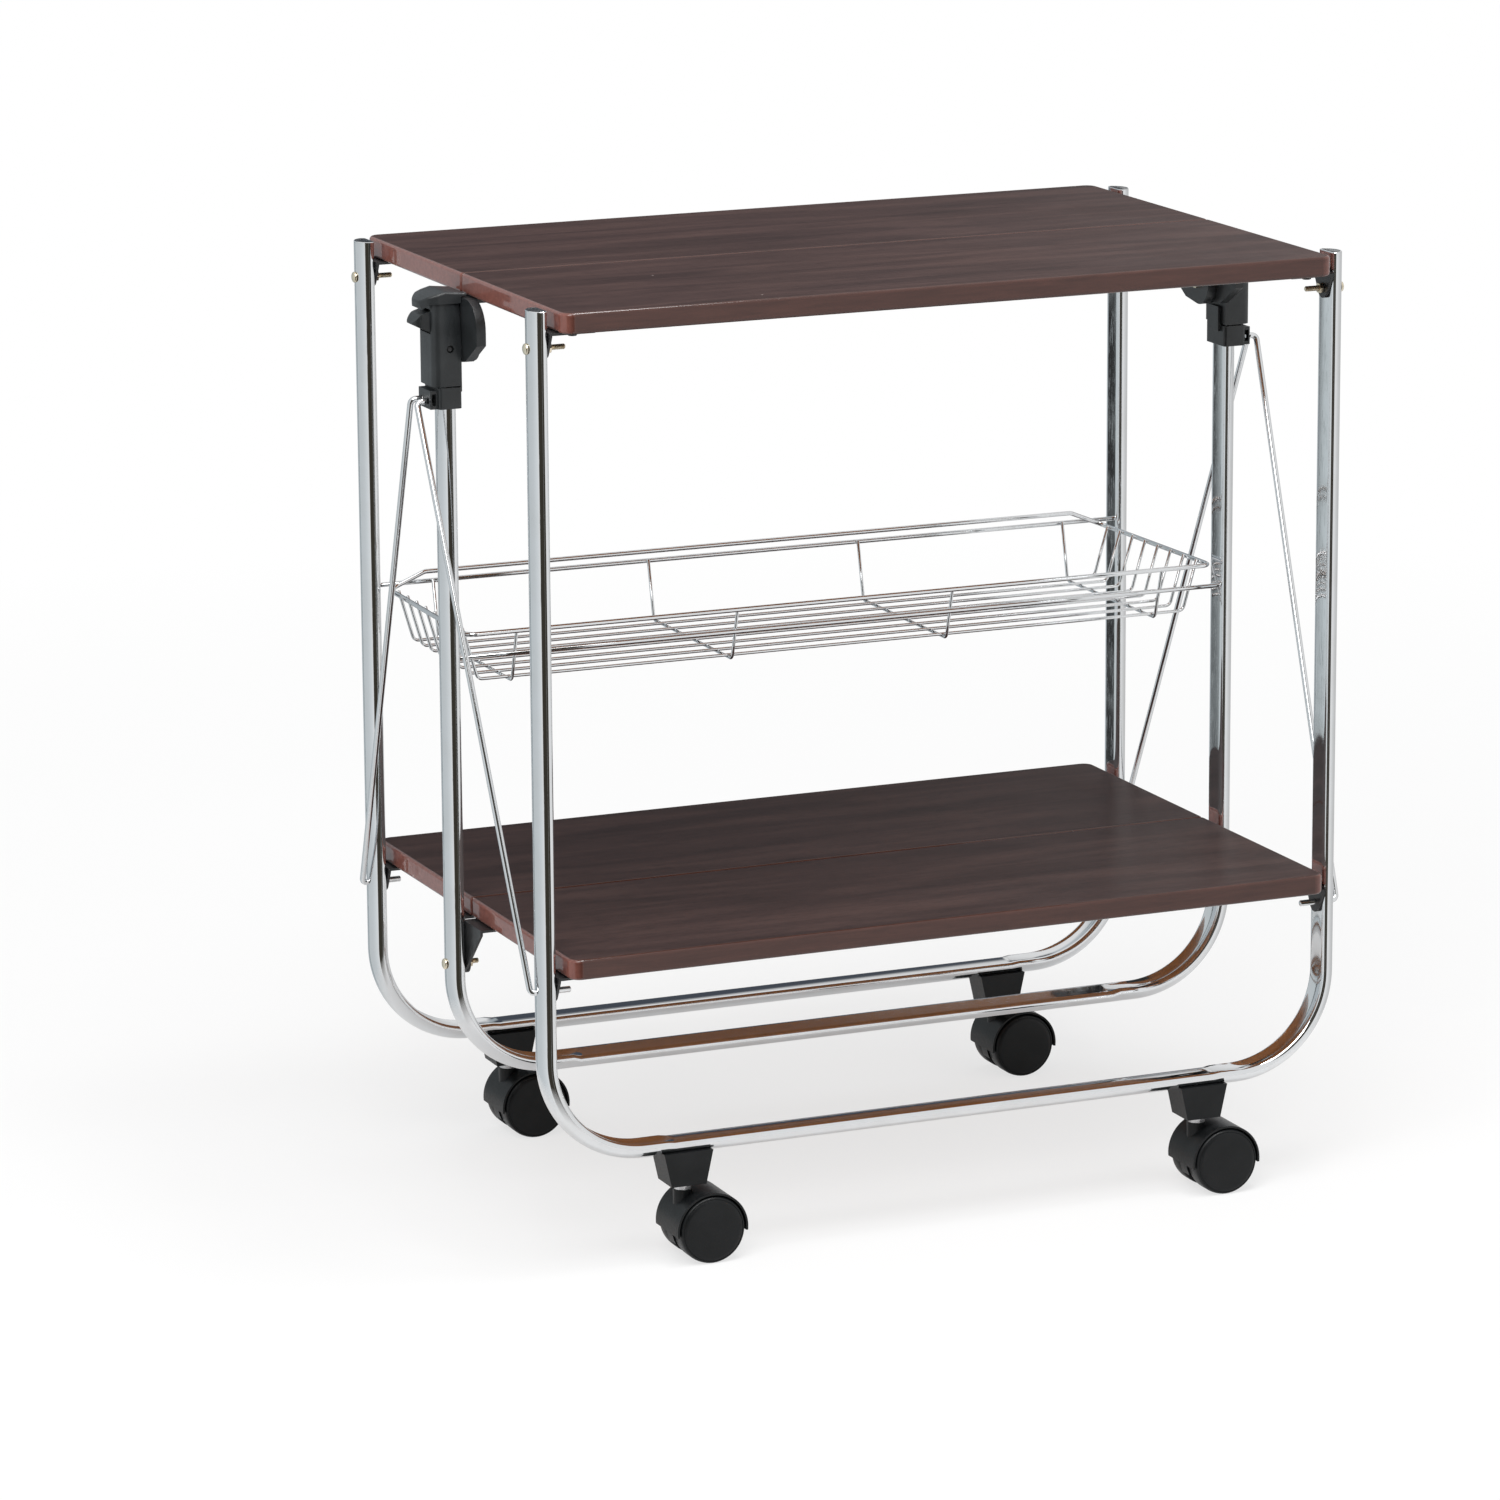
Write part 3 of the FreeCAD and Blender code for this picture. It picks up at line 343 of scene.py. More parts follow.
def tube_outline(drops, grow):
    """The half-round section as (outward, across) points, its walls moved outwards by grow.

    The flat lies deeper by the drops at its front edge, middle and rear edge."""
    front, middle, rear = drops
    radius = tube_round + grow
    corner = tube_corner + grow
    centre = tube_deep - tube_round
    turns = []
    for drop in (front, rear):
        out = drop - grow + corner
        across = math.sqrt((radius - corner) ** 2 - (out - centre) ** 2)
        turns.append((out, across, math.atan2(across, out - centre)))
    (front_out, front_across, front_meet), (rear_out, rear_across, rear_meet) = turns
    outline = []
    for i in range(flat_steps + 1):
        share = 2 * i / flat_steps - 1
        drop = middle + (rear - front) / 2 * share + ((rear + front) / 2 - middle) * share ** 2
        across = (rear_across - front_across) / 2 + (rear_across + front_across) / 2 * share
        outline.append((drop - grow, across))
    for i in range(1, corner_steps):
        angle = math.pi - (math.pi - rear_meet) * i / corner_steps
        outline.append((rear_out + corner * math.cos(angle), rear_across + corner * math.sin(angle)))
    for i in range(round_steps + 1):
        angle = rear_meet - (rear_meet + front_meet) * i / round_steps
        outline.append((centre + radius * math.cos(angle), radius * math.sin(angle)))
    for i in range(corner_steps - 1, 0, -1):
        angle = math.pi - (math.pi - front_meet) * i / corner_steps
        outline.append((front_out + corner * math.cos(angle), -front_across - corner * math.sin(angle)))
    return outline


def tube_row(centre, angle, side, y, drops, grow=0.0):
    """The section on a bend at an angle from the leg (0) to the bar (90), or above it on the leg."""
    out = Vector((math.cos(angle), 0, -math.sin(angle)))
    base = centre + out * (tube_bend - tube_deep)
    row = []
    for outward, across in tube_outline(drops, grow):
        point = base + out * outward
        row.append(Vector((point.x * side, y + across, point.z)))
    return row


def frame_skin(leg, y, bar, top, bar_drops):
    """All rows of a U frame from inside its right leg's end to inside its left leg's end."""
    centre = Vector((leg + tube_deep - tube_bend, 0, bar + tube_bend))
    rise = Vector((0, 0, top - centre.z))
    ends = ((bore_depth, -tube_wall), (0, -tube_wall), (0, -end_rounding), (end_rounding, 0))

    def half(side):
        rows = []
        for drop, grow in ends:
            rows.append(tube_row(centre + rise - Vector((0, 0, drop)), 0, side, y, leg_drops, grow))
        for i in range(bend_steps + 1):
            turn = i / bend_steps
            share = min(1, 2 * turn)
            drops = [a + (b - a) * share for a, b in zip(leg_drops, pinched)]
            rows.append(tube_row(centre, math.radians(90 * turn), side, y, drops))
        for back, drops in ((crease_place, pinched), (crease_end, bar_drops), (crease_settled, bar_drops)):
            rows.append(tube_row(centre - Vector((back, 0, 0)), math.radians(90), side, y, drops))
        return rows

    right = half(1)
    left = half(-1)
    return carried_through(right + left[::-1])


for node, leg, y, bar, top, bar_drops in (
    ("rear_frame_tube", outer_leg, frame_y, outer_bar, outer_top, crowned),
    ("front_frame_tube", outer_leg, -frame_y, outer_bar, outer_top, crowned),
    ("middle_frame_tube", middle_leg, 0.0, middle_bar, middle_top, leaning),
):
    points, faces = frame_skin(leg, y, bar, top, bar_drops)
    stands_for(made_piece("bent_" + node, points, faces, chrome, 40), node)


def all_in_one(skins):
    """Several (points, faces) skins as one."""
    points = []
    faces = []
    for more_points, more_faces in skins:
        start = len(points)
        points.extend(more_points)
        faces.extend(tuple(start + i for i in face) for face in more_faces)
    return points, faces


# Depth below the tube's end and set-in from its outside, up over the plug's rounded upper edge.
plug_steps = ((0.012, -0.00125), (0.0005, -0.00125), (0.0002, -0.00135), (0.0001, -0.0016))


def plug_skin(side, y):
    """A plug in an outer leg's end."""
    base = Vector((outer_leg + tube_deep - tube_bend, 0, outer_top))
    rows = []
    for drop, grow in plug_steps:
        rows.append(tube_row(base - Vector((0, 0, drop)), 0, side, y, leg_drops, grow))
    points, faces = carried_through(rows)
    count = len(rows[0])
    faces.append(tuple(range(count)))
    faces.append(tuple(range(len(points) - count, len(points))))
    return points, faces


for node, y in (("rear_leg_plugs", frame_y), ("front_leg_plugs", -frame_y)):
    plugs = all_in_one([plug_skin(1, y), plug_skin(-1, y)])
    stands_for(made_piece("pushed_in_" + node, *plugs, plug_black, 60), node)

# Shelf boards
# Four boards of 15 mm chipboard with a dark wood-grain face and stained, varnished solid edges, rounded at
# the corners. The grain runs lengthwise. The undersides are left lighter. The edges carry painted
# reflections:
# the end faces are painted lighter and the front and back edges darker.

face_grain, grain_in, grain_out = effect_group(
    "lengthwise_grain",
    [("Place", "Vector", None), ("Fineness", "Float", 1.0)],
    [("Streak", "Float"), ("Cloud", "Float"), ("Pore", "Float"), ("Speck", "Float")])


def grain_noise(stretched, detail, roughness, distortion):
    """A noise over the group's place, stretched along X."""
    placed = place(face_grain, "ShaderNodeVectorMath", {0: grain_in.outputs["Place"], 1: stretched},
                   operation="MULTIPLY")
    made = place(face_grain, "ShaderNodeTexNoise", {
        "Vector": placed.outputs[0], "Scale": grain_in.outputs["Fineness"], "Detail": detail,
        "Roughness": roughness, "Distortion": distortion})
    return made.outputs["Fac"]


specks = place(face_grain, "ShaderNodeTexVoronoi", {"Vector": grain_in.outputs["Place"], "Scale": 28.0})
speck_mask = place(face_grain, "ShaderNodeMapRange", {"Value": specks.outputs["Distance"], "From Min": 0.03,
                                                      "From Max": 0.015})
chance = place(face_grain, "ShaderNodeSeparateColor", {"Color": specks.outputs["Color"]})
rare = place(face_grain, "ShaderNodeMath", {0: chance.outputs[0], 1: 0.9}, operation="GREATER_THAN")
speck = place(face_grain, "ShaderNodeMath", {0: speck_mask.outputs["Result"], 1: rare.outputs[0]},
              operation="MULTIPLY")
for label, value in (("Streak", grain_noise((20.0, 210.0, 210.0), 7.0, 0.68, 0.4)),
                     ("Cloud", grain_noise((5.0, 40.0, 40.0), 3.0, 0.5, 0.8)),
                     ("Pore", grain_noise((90.0, 900.0, 900.0), 2.0, 0.5, 0.0)),
                     ("Speck", speck.outputs[0])):
    face_grain.links.new(value, grain_out.inputs[label])

varnished_board, tree, surface = finish_named("varnished_board")
coordinates = place(tree, "ShaderNodeTexCoord")
grain = with_effect(tree, face_grain, {"Place": coordinates.outputs["Object"], "Fineness": 1.0})
wiped = with_effect(tree, marks, {"Place": coordinates.outputs["Object"], "Smudge Scale": 7.0,
                                  "Scratch Scale": 500.0})
facing = place(tree, "ShaderNodeSeparateXYZ", {"Vector": coordinates.outputs["Normal"]})
upper = place(tree, "ShaderNodeMapRange", {"Value": facing.outputs["Z"], "From Min": 0.9,
                                           "From Max": 0.985})
under = place(tree, "ShaderNodeMapRange", {"Value": facing.outputs["Z"], "From Min": -0.9,
                                           "From Max": -0.985})
painted_sheen_mask = place(tree, "ShaderNodeMath", {0: facing.outputs["X"]}, operation="ABSOLUTE")
grown = place(tree, "ShaderNodeMath", {0: grain.outputs["Streak"], 1: 0.55, 2: grain.outputs["Cloud"]},
              operation="MULTIPLY_ADD")
top_tone = ramp(tree, grown.outputs[0], [(0.52, (0.031, 0.0180, 0.0166)), (0.76, (0.047, 0.0272, 0.0248)),
                                         (0.98, (0.068, 0.0395, 0.0350))])
pore_tone = ramp(tree, grain.outputs["Pore"], [(0.34, 0.72), (0.46, 1.0)])
top_pores = place(tree, "ShaderNodeVectorMath", {0: top_tone, 1: pore_tone}, operation="MULTIPLY")
top_specks = blended(tree, grain.outputs["Speck"], top_pores.outputs[0], (0.32, 0.27, 0.25))
# The same stained edge wood is toned by which way it faces. The end faces are painted much lighter, a
# painted reflection of the pale room. The front and back edges are painted darker, a painted reflection of
# the dark screen.
edge_painted_dark = ramp(tree, grain.outputs["Streak"], [(0.3, (0.040, 0.013, 0.009)),
                                                 (0.7, (0.068, 0.024, 0.017))])
end_painted_sheen = ramp(tree, grain.outputs["Streak"], [(0.3, (0.19, 0.066, 0.050)), (0.7, (0.28, 0.105, 0.082))])
rim_painted_reflections = blended(tree, painted_sheen_mask.outputs[0], edge_painted_dark, end_painted_sheen)
below_tone = ramp(tree, grain.outputs["Streak"], [(0.3, (0.27, 0.095, 0.022)), (0.7, (0.34, 0.125, 0.032))])
rim_and_top = blended(tree, upper.outputs["Result"], rim_painted_reflections, top_specks)
all_round = blended(tree, under.outputs["Result"], rim_and_top, below_tone)
satin = place(tree, "ShaderNodeMapRange", {"Value": upper.outputs["Result"], "To Min": 0.30,
                                           "To Max": 0.40})
satin_wiped = place(tree, "ShaderNodeMath", {0: wiped.outputs["Smudge"], 1: 0.08,
                                             2: satin.outputs["Result"]}, operation="MULTIPLY_ADD")
varnish = place(tree, "ShaderNodeMapRange", {"Value": upper.outputs["Result"], "To Min": 1.0,
                                             "To Max": 0.0})
pore_bump = place(tree, "ShaderNodeBump", {"Height": grain.outputs["Pore"], "Strength": 0.12,
                                           "Distance": 0.0002})
fill(surface, tree, {"Base Color": all_round, "Roughness": satin_wiped.outputs[0],
                     "Normal": pore_bump.outputs["Normal"], "Specular IOR Level": 0.08,
                     "Coat Weight": varnish.outputs["Result"], "Coat Roughness": 0.06, "Coat IOR": 1.5})


def finished(node, material):
    """Gives a node's own solids their material."""
    for socket in frame["nodes"][node].material_slots:
        socket.material = material


for board in ("upper_rear_board", "upper_front_board", "lower_rear_board", "lower_front_board"):
    finished(board, varnished_board)

# Brackets under the boards
# Angle brackets of 2 mm steel, stamped and painted satin black, each held by two screws. The upper shelf's
# hinge plates at the middle legs are thick black mouldings, screwed on in the same way.

black_paint, tree, surface = finish_named("satin_black_paint")
spot = place(tree, "ShaderNodeTexCoord").outputs["Object"]
wiped = with_effect(tree, marks, {"Place": spot, "Smudge Scale": 45.0, "Scratch Scale": 900.0})
peel = place(tree, "ShaderNodeTexNoise", {"Vector": spot, "Scale": 900.0, "Detail": 1.0})
paint_tone = ramp(tree, wiped.outputs["Smudge"], [(0.0, (0.016, 0.016, 0.017)), (1.0, (0.03, 0.03, 0.031))])
paint_gloss = place(tree, "ShaderNodeMapRange", {"Value": wiped.outputs["Smudge"], "To Min": 0.3,
                                                 "To Max": 0.46})
paint_bump = place(tree, "ShaderNodeBump", {"Height": peel.outputs["Fac"], "Strength": 0.12,
                                            "Distance": 0.0003})
fill(surface, tree, {"Base Color": paint_tone, "Roughness": paint_gloss.outputs["Result"],
                     "Normal": paint_bump.outputs["Normal"]})

moulded_grain, mould_in, mould_out = effect_group(
    "moulded_grain",
    [("Place", "Vector", None), ("Fineness", "Float", 1400.0)],
    [("Height", "Float"), ("Tone", "Float")])
spark = place(moulded_grain, "ShaderNodeTexNoise", {
    "Vector": mould_in.outputs["Place"], "Scale": mould_in.outputs["Fineness"], "Detail": 3.0})
flow_lines = place(moulded_grain, "ShaderNodeTexNoise", {"Vector": mould_in.outputs["Place"], "Scale": 35.0,
                                                         "Detail": 3.0})
moulded_grain.links.new(spark.outputs["Fac"], mould_out.inputs["Height"])
moulded_grain.links.new(flow_lines.outputs["Fac"], mould_out.inputs["Tone"])


def moulded(name, dark, light, rough, fineness, depth, sheen):
    """A black plastic with spark-eroded texture of the given depth."""
    material, tree, surface = finish_named(name)
    spot = place(tree, "ShaderNodeTexCoord").outputs["Object"]
    skin = with_effect(tree, moulded_grain, {"Place": spot, "Fineness": fineness})
    tone = ramp(tree, skin.outputs["Tone"], [(0.35, dark), (0.65, light)])
    gloss = place(tree, "ShaderNodeMapRange", {"Value": skin.outputs["Height"], "From Min": 0.3,
                                               "From Max": 0.7, "To Min": rough - 0.06,
                                               "To Max": rough + 0.06})
    bump = place(tree, "ShaderNodeBump", {"Height": skin.outputs["Height"], "Strength": 0.35,
                                          "Distance": depth})
    fill(surface, tree, {"Base Color": tone, "Roughness": gloss.outputs["Result"],
                         "Normal": bump.outputs["Normal"], "Specular IOR Level": sheen})
    return material


grained_plastic = moulded("grained_black_plastic", dark=(0.012, 0.014, 0.015), light=(0.024, 0.027, 0.029),
                          rough=0.37, fineness=1300.0, depth=0.0004, sheen=0.5)


def softened(node, radius, material, crease=32):
    """A copy of a node with its flats joined into single faces and its edges rounded."""
    nearly_flat = math.radians(0.6)
    shape = bmesh.new()
    shape.from_mesh(frame["nodes"][node].data)
    bmesh.ops.remove_doubles(shape, verts=shape.verts, dist=1e-6)
    bmesh.ops.dissolve_limit(shape, angle_limit=nearly_flat, verts=shape.verts, edges=shape.edges)
    points = [v.co.copy() for v in shape.verts]
    shape.verts.index_update()
    faces = [tuple(v.index for v in f.verts) for f in shape.faces]
    shape.free()
    piece = made_piece("shaped_" + node, points, faces, material, crease)
    rounding = piece.modifiers.new("rounding", "BEVEL")
    rounding.width = radius
    rounding.segments = 2
    rounding.limit_method = "ANGLE"
    rounding.angle_limit = math.radians(crease)
    rounding.harden_normals = True
    stands_for(piece, node)


for node in ("upper_rear_leg_brackets", "upper_front_leg_brackets", "lower_rear_leg_brackets",
             "lower_front_leg_brackets", "lower_rear_centre_brackets", "lower_front_centre_brackets"):
    softened(node, 0.0004, black_paint)
for node in ("upper_rear_centre_brackets", "upper_front_centre_brackets"):
    softened(node, 0.0010, grained_plastic)
for node in ("upper_rear_bracket_screws", "upper_front_bracket_screws", "lower_rear_bracket_screws",
             "lower_front_bracket_screws"):
    finished(node, black_paint)

# Pivot bolts and nuts
# Steel bolts and nuts, passivated yellow. The bolts have low domed heads outside the tubes and are longer
# than they need to be, so their threads stand out past the nuts.

brass_finish, tree, surface = finish_named("yellow_passivated")
spot = place(tree, "ShaderNodeTexCoord").outputs["Object"]
wiped = with_effect(tree, marks, {"Place": spot, "Smudge Scale": 160.0, "Scratch Scale": 2500.0})
brass_tone = ramp(tree, wiped.outputs["Smudge"], [(0.0, (0.84, 0.76, 0.60)), (1.0, (0.74, 0.63, 0.46))])
brass_gloss = place(tree, "ShaderNodeMapRange", {"Value": wiped.outputs["Smudge"], "To Min": 0.2,
                                                 "To Max": 0.36})
brass_bump = place(tree, "ShaderNodeBump", {"Height": wiped.outputs["Scratch"], "Strength": 0.15,
                                            "Distance": 0.0002})
fill(surface, tree, {"Base Color": brass_tone, "Roughness": brass_gloss.outputs["Result"],
                     "Normal": brass_bump.outputs["Normal"], "Metallic": 1.0})


def turned_on_x(profile, y, z, side, segments=32):
    """Points and faces of a piece turned about a line along X through (y, z), from (x, radius) pairs."""
    rows = []
    for x, radius in profile:
        ring = []
        for i in range(segments):
            angle = 2 * math.pi * i / segments
            ring.append(Vector((x * side, y + radius * math.cos(angle), z + radius * math.sin(angle))))
        rows.append(ring)
    return carried_through(rows)


def bolt_profile(seat, thread_start, tip):
    """The outline of a bolt from its domed head at the seat to its chamfered tip."""
    head = 0.004
    head_height = 0.0026
    skirt = 0.0008
    dome = 0.0018
    skirt_chamfer = 0.0002
    shank = 0.002
    thread_root = 0.00172
    pitch = 0.0007
    profile = [(seat + head_height, 0.0)]
    for i in range(1, 9):
        angle = math.radians(90 * i / 8)
        profile.append((seat + skirt + dome * math.cos(angle), head * math.sin(angle)))
    profile += [(seat + skirt_chamfer, head), (seat, head - skirt_chamfer), (seat, shank),
                (thread_start, shank)]
    x = thread_start
    while x - pitch > tip + 0.0006:
        profile += [(x - pitch / 2, thread_root), (x - pitch, shank)]
        x -= pitch
    return profile + [(tip + 0.0005, 0.0018), (tip, 0.0014), (tip, 0.0)]


outer_seat = 0.31805
middle_seat = 0.32105
outer_pivot_z = 0.673
middle_pivot_z = 0.652
lower_middle_pivot_z = 0.190
# Each bolt's head seat, thread start and tip along X, and its height.
outer_bolt = (outer_seat, 0.2996, 0.2896, outer_pivot_z)
upper_middle_bolt = (middle_seat, 0.2910, 0.2831, middle_pivot_z)
lower_middle_bolt = (middle_seat, 0.3032, 0.2955, lower_middle_pivot_z)
for node, y, bolts in (
    ("rear_pivot_bolts", frame_y, (outer_bolt,)),
    ("front_pivot_bolts", -frame_y, (outer_bolt,)),
    ("centre_pivot_bolts", 0.0, (upper_middle_bolt, lower_middle_bolt)),
):
    skins = []
    for seat, thread_start, tip, z in bolts:
        for side in (1, -1):
            skins.append(turned_on_x(bolt_profile(seat, thread_start, tip), y, z, side))
    stands_for(made_piece("threaded_" + node, *all_in_one(skins), brass_finish), node)
for node in ("rear_pivot_nuts", "front_pivot_nuts", "centre_pivot_nuts"):
    softened(node, 0.0004, brass_finish)

# Struts
# Four chromed steel wires. The lower end of each is bent inwards as the pin of the lower shelf's outer
# pivot, and the upper end is bent inwards into the lug of a collar.


def rounded_line(corners, radius, closed=False, steps=8):
    """Points along straight runs whose corners are turned with the given radius."""
    count = len(corners)
    line = []
    for i, here in enumerate(corners):
        if not closed and i in (0, count - 1):
            line.append(here)
            continue
        back = (corners[i - 1] - here).normalized()
        onward = (corners[(i + 1) % count] - here).normalized()
        half = back.angle(onward) / 2
        centre = here + (back + onward).normalized() * (radius / math.sin(half))
        start = (here + back * (radius / math.tan(half)) - centre).normalized()
        end = (here + onward * (radius / math.tan(half)) - centre).normalized()
        for step in range(steps + 1):
            line.append(centre + start.slerp(end, step / steps) * radius)
    return line


def wire_skin(line, diameter, closed=False, sides=16):
    """Points and faces of a round wire along a line, its open ends chamfered."""
    count = len(line)
    tangents = []
    for i in range(count):
        before = line[i - 1] if closed or i > 0 else line[i]
        after = line[(i + 1) % count] if closed or i < count - 1 else line[i]
        tangents.append((after - before).normalized())
    across = tangents[0].orthogonal().normalized()
    axes = []
    for tangent in tangents:
        across = (across - tangent * across.dot(tangent)).normalized()
        axes.append((across, tangent.cross(across)))
    radius = diameter / 2

    def ring(i, share, shift):
        u, w = axes[i]
        middle = line[i] + tangents[i] * shift
        turns = [2 * math.pi * k / sides for k in range(sides)]
        return [middle + (u * math.cos(t) + w * math.sin(t)) * radius * share for t in turns]

    if closed:
        rows = [ring(i, 1, 0) for i in range(count)]
        twist = rows[0][0] - line[0]
        last = axes[-1]
        offset = round(math.atan2(twist.dot(last[1]), twist.dot(last[0])) / (2 * math.pi) * sides)
        points, faces = carried_through(rows)
        for j in range(sides):
            k = (j + 1) % sides
            a = (count - 1) * sides
            faces.append((a + (j + offset) % sides, a + (k + offset) % sides, k, j))
        return points, faces
    cut = radius * 0.25
    rows = [ring(0, 0, 0), ring(0, 0.75, 0), ring(0, 1, cut)]
    rows += [ring(i, 1, 0) for i in range(1, count - 1)]
    rows += [ring(count - 1, 1, -cut), ring(count - 1, 0.75, 0), ring(count - 1, 0, 0)]
    return carried_through(rows)


strut_thick = 0.0045
strut_turn = 0.0038
lower_pivot_z = 0.211
pivot_end_x = 0.2917
pivot_turn_x = 0.3221
collar_hole_z = 0.610
collar_hole_y = 0.006
collar_turn_x = 0.33775
collar_end_x = 0.3298
for row, fore in (("rear", 1), ("front", -1)):
    for hand, side in (("right", 1), ("left", -1)):
        corners = [Vector((pivot_end_x * side, frame_y * fore, lower_pivot_z)),
                   Vector((pivot_turn_x * side, frame_y * fore, lower_pivot_z)),
                   Vector((collar_turn_x * side, collar_hole_y * fore, collar_hole_z)),
                   Vector((collar_end_x * side, collar_hole_y * fore, collar_hole_z))]
        skin = wire_skin(rounded_line(corners, strut_turn), strut_thick)
        node = f"{row}_{hand}_strut"
        stands_for(made_piece("bent_" + node, *skin, chrome, 50), node)

# Locks at the middle legs
# Black nylon mouldings: a collar that slides on each leg and carries the struts, and above it a grip
# housing with a palm grip on top and a squeeze trigger in its outer side. Small screws hold each housing.

for hand in ("left", "right"):
    softened(hand + "_collar", 0.0006, grained_plastic)
    softened(hand + "_grip_housing", 0.0006, grained_plastic)
    softened(hand + "_palm_grip", 0.0006, grained_plastic)
    softened(hand + "_trigger", 0.0008, grained_plastic)

steel, tree, surface = finish_named("turned_steel")
spot = place(tree, "ShaderNodeTexCoord").outputs["Object"]
wiped = with_effect(tree, marks, {"Place": spot, "Smudge Scale": 120.0, "Scratch Scale": 2200.0})
steel_tone = ramp(tree, wiped.outputs["Smudge"], [(0.0, (0.62, 0.62, 0.63)), (1.0, (0.5, 0.5, 0.51))])
steel_gloss = place(tree, "ShaderNodeMapRange", {"Value": wiped.outputs["Smudge"], "To Min": 0.24,
                                                 "To Max": 0.4})
steel_bump = place(tree, "ShaderNodeBump", {"Height": wiped.outputs["Scratch"], "Strength": 0.15,
                                            "Distance": 0.0002})
fill(surface, tree, {"Base Color": steel_tone, "Roughness": steel_gloss.outputs["Result"],
                     "Normal": steel_bump.outputs["Normal"], "Metallic": 1.0})
finished("trigger_pins", steel)
finished("housing_screws", black_paint)

# Wire basket
# Hard-drawn wire, welded and chromed as one piece: a closed rim that steps up behind, eight lengthwise
# floor wires that turn up to the rim, four cross wires, and the two rods that it turns on in the frames.

rail_thick = 0.0035
floor_thick = 0.0024
rear_rod_z = 0.439
front_rod_z = 0.418
rail_gap = 0.00355
rim_z = rear_rod_z - rail_gap
rim_rear_y = frame_y - rail_gap
rim_front_y = -0.005
rim_rear_x = 0.297
rim_front_x = 0.302
rim_step_run = 0.028
rim_step = 0.008
rim_turn = 0.008
wire_turn = 0.005
touch = 0.003

corners = [Vector((rim_rear_x - rim_step_run, rim_rear_y, rear_rod_z + rim_step)),
           Vector((rim_rear_x, rim_rear_y, rim_z)), Vector((rim_front_x, rim_front_y, rim_z))]
corners += [Vector((-c.x, c.y, c.z)) for c in reversed(corners)]
rim_skin = wire_skin(rounded_line(corners, rim_turn, closed=True), rail_thick, closed=True)
stands_for(made_piece("welded_basket_rim", *rim_skin, chrome, 50), "basket_rim")

rear_rod_end = 0.310
front_rod_end = 0.313
rods = []
for end, y, z in ((rear_rod_end, frame_y, rear_rod_z), (front_rod_end, 0.0, front_rod_z)):
    line = [Vector((x, y, z)) for x in (-end, -end / 2, end / 2, end)]
    rods.append(wire_skin(line, rail_thick))
stands_for(made_piece("welded_pivot_rods", *all_in_one(rods), chrome, 50), "basket_pivot_rods")

floor_drop = 0.020
floor_z = front_rod_z - floor_drop
slope = (rim_front_x - rim_rear_x) / (rim_rear_y - rim_front_y)
above = rail_thick / 2
first_wire_y = 0.013
wires_reach = 0.145
end_lean = 0.011
skins = []
for i in range(8):
    y = first_wire_y + wires_reach / 7 * i
    lean = end_lean / (rim_z - floor_z)
    rail_x = rim_rear_x + slope * (rim_rear_y - y)
    side_x = rail_x - touch * math.hypot(1, lean, slope)
    ends = [Vector((side_x - end_lean, y, floor_z)), Vector((side_x + above * lean, y, rim_z + above))]
    corners = [Vector((-p.x, p.y, p.z)) for p in reversed(ends)] + ends
    skins.append(wire_skin(rounded_line(corners, wire_turn), floor_thick, sides=12))
stands_for(made_piece("welded_long_wires", *all_in_one(skins), chrome, 50), "basket_long_wires")

wire_gap = 0.00245
cross_z = floor_z - wire_gap
cross_reach = 0.524
front_set_back = 0.005
rear_set_in = 0.010
front_lean = front_set_back / (rim_z - front_rod_z)
front_y = touch * math.hypot(1, front_lean)
rear_lean = rear_set_in / (rear_rod_z - cross_z)
rear_y = frame_y - touch * math.hypot(1, rear_lean)
skins = []
for i in range(4):
    x = -cross_reach / 2 + cross_reach / 3 * i
    corners = [Vector((x, rear_y + above * rear_lean, rear_rod_z + above)),
               Vector((x, rear_y - rear_set_in, cross_z)),
               Vector((x, front_y + (front_rod_z - cross_z) * front_lean, cross_z)),
               Vector((x, front_y - front_set_back, rim_z))]
    skins.append(wire_skin(rounded_line(corners, wire_turn), floor_thick, sides=12))
stands_for(made_piece("welded_cross_wires", *all_in_one(skins), chrome, 50), "basket_cross_wires")

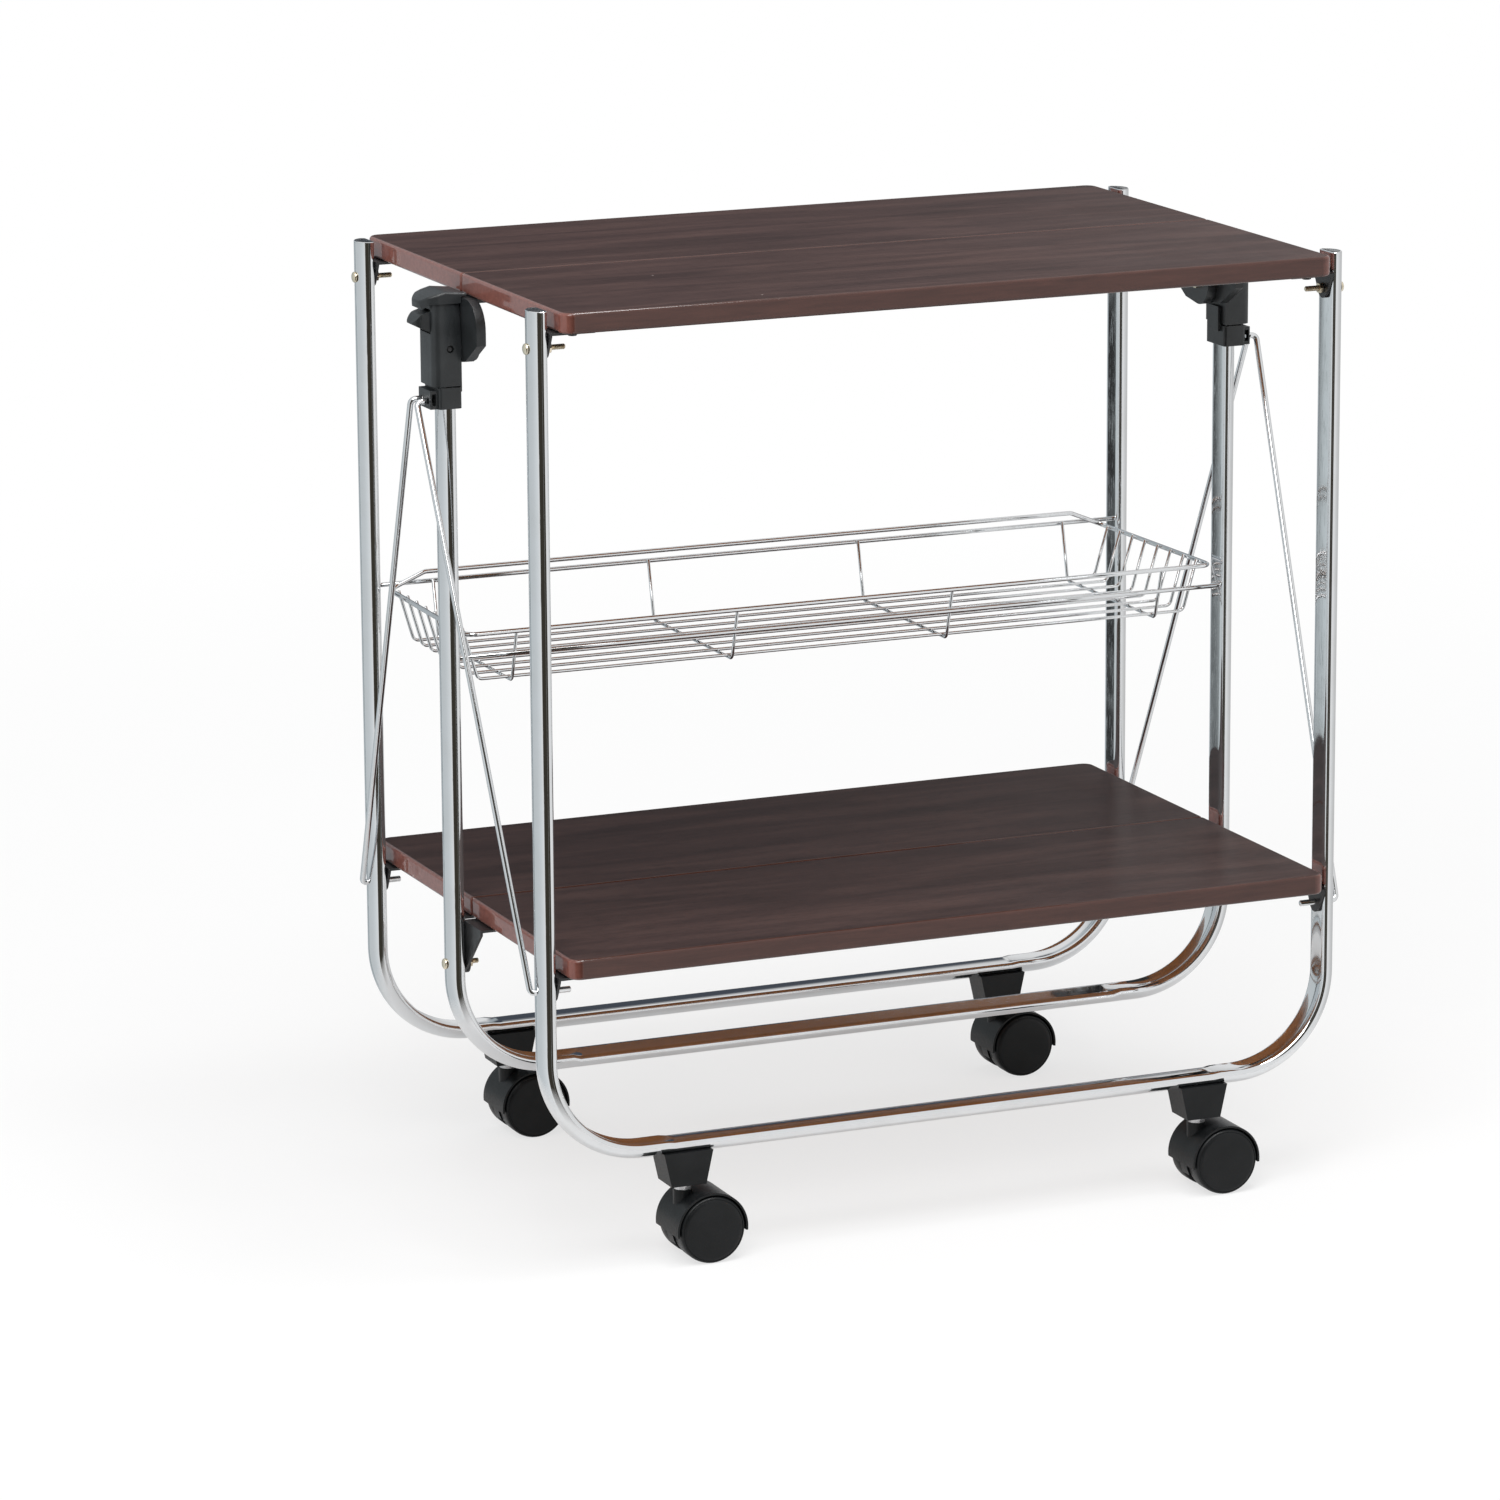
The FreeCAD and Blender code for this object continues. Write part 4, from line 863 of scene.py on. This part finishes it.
# Casters
# Twin-wheel casters of black nylon. A tapered block under the bar takes the steel stem, the hood swivels on
# it and carries both wheels, whose outer sides are closed by slightly domed caps set inside a rim.

smooth_plastic = moulded("smooth_black_plastic", dark=(0.006, 0.007, 0.0075), light=(0.010, 0.011, 0.012),
                         rough=0.36, fineness=700.0, depth=0.00025, sheen=0.25)
stem_x = 0.207
trail = 0.015
wheel_radius = 0.025
axle_half = 0.018
axle_radius = 0.0025


def wheel_profile():
    """(distance from the wheel pair's middle, radius) from the inner side out to the cap's centre."""
    inner = 0.006
    outer = 0.0225
    return [(inner, 0.004), (inner, 0.0232), (inner + 0.0006, 0.0244), (inner + 0.0018, wheel_radius),
            (outer - 0.0040, wheel_radius), (outer - 0.0022, 0.0247), (outer - 0.0010, 0.0240),
            (outer - 0.0006, 0.0234), (outer - 0.0006, 0.0231), (outer - 0.0010, 0.0229),
            (outer - 0.0006, 0.0226), (outer - 0.0003, 0.0200), (outer - 0.0001, 0.0120),
            (outer, 0.0060), (outer, 0.0)]


def turned_on_y(profile, x, z, middle, side, segments=56):
    """As turned_on_x, about a line along Y through (x, z)."""
    rows = []
    for reach, radius in profile:
        ring = []
        for i in range(segments):
            angle = 2 * math.pi * i / segments
            ring.append(Vector((x + radius * math.cos(angle), middle + side * reach,
                                z + radius * math.sin(angle))))
        rows.append(ring)
    return carried_through(rows)


for row, y in (("rear", frame_y), ("front", -frame_y)):
    for hand, x in (("right", stem_x), ("left", -stem_x)):
        corner = row + "_" + hand
        softened(corner + "_caster_socket", 0.0008, smooth_plastic)
        softened(corner + "_caster_hood", 0.0004, smooth_plastic, 25)
        skins = [turned_on_y(wheel_profile(), x + trail, wheel_radius, y, side) for side in (1, -1)]
        axle = [(-axle_half, 0.0), (-axle_half, axle_radius), (axle_half, axle_radius), (axle_half, 0.0)]
        skins.append(turned_on_y(axle, x + trail, wheel_radius, y, 1, 24))
        stands_for(made_piece(corner + "_wheels", *all_in_one(skins), smooth_plastic, 50),
                   corner + "_wheel_pair")
    finished(row + "_caster_stems", steel)
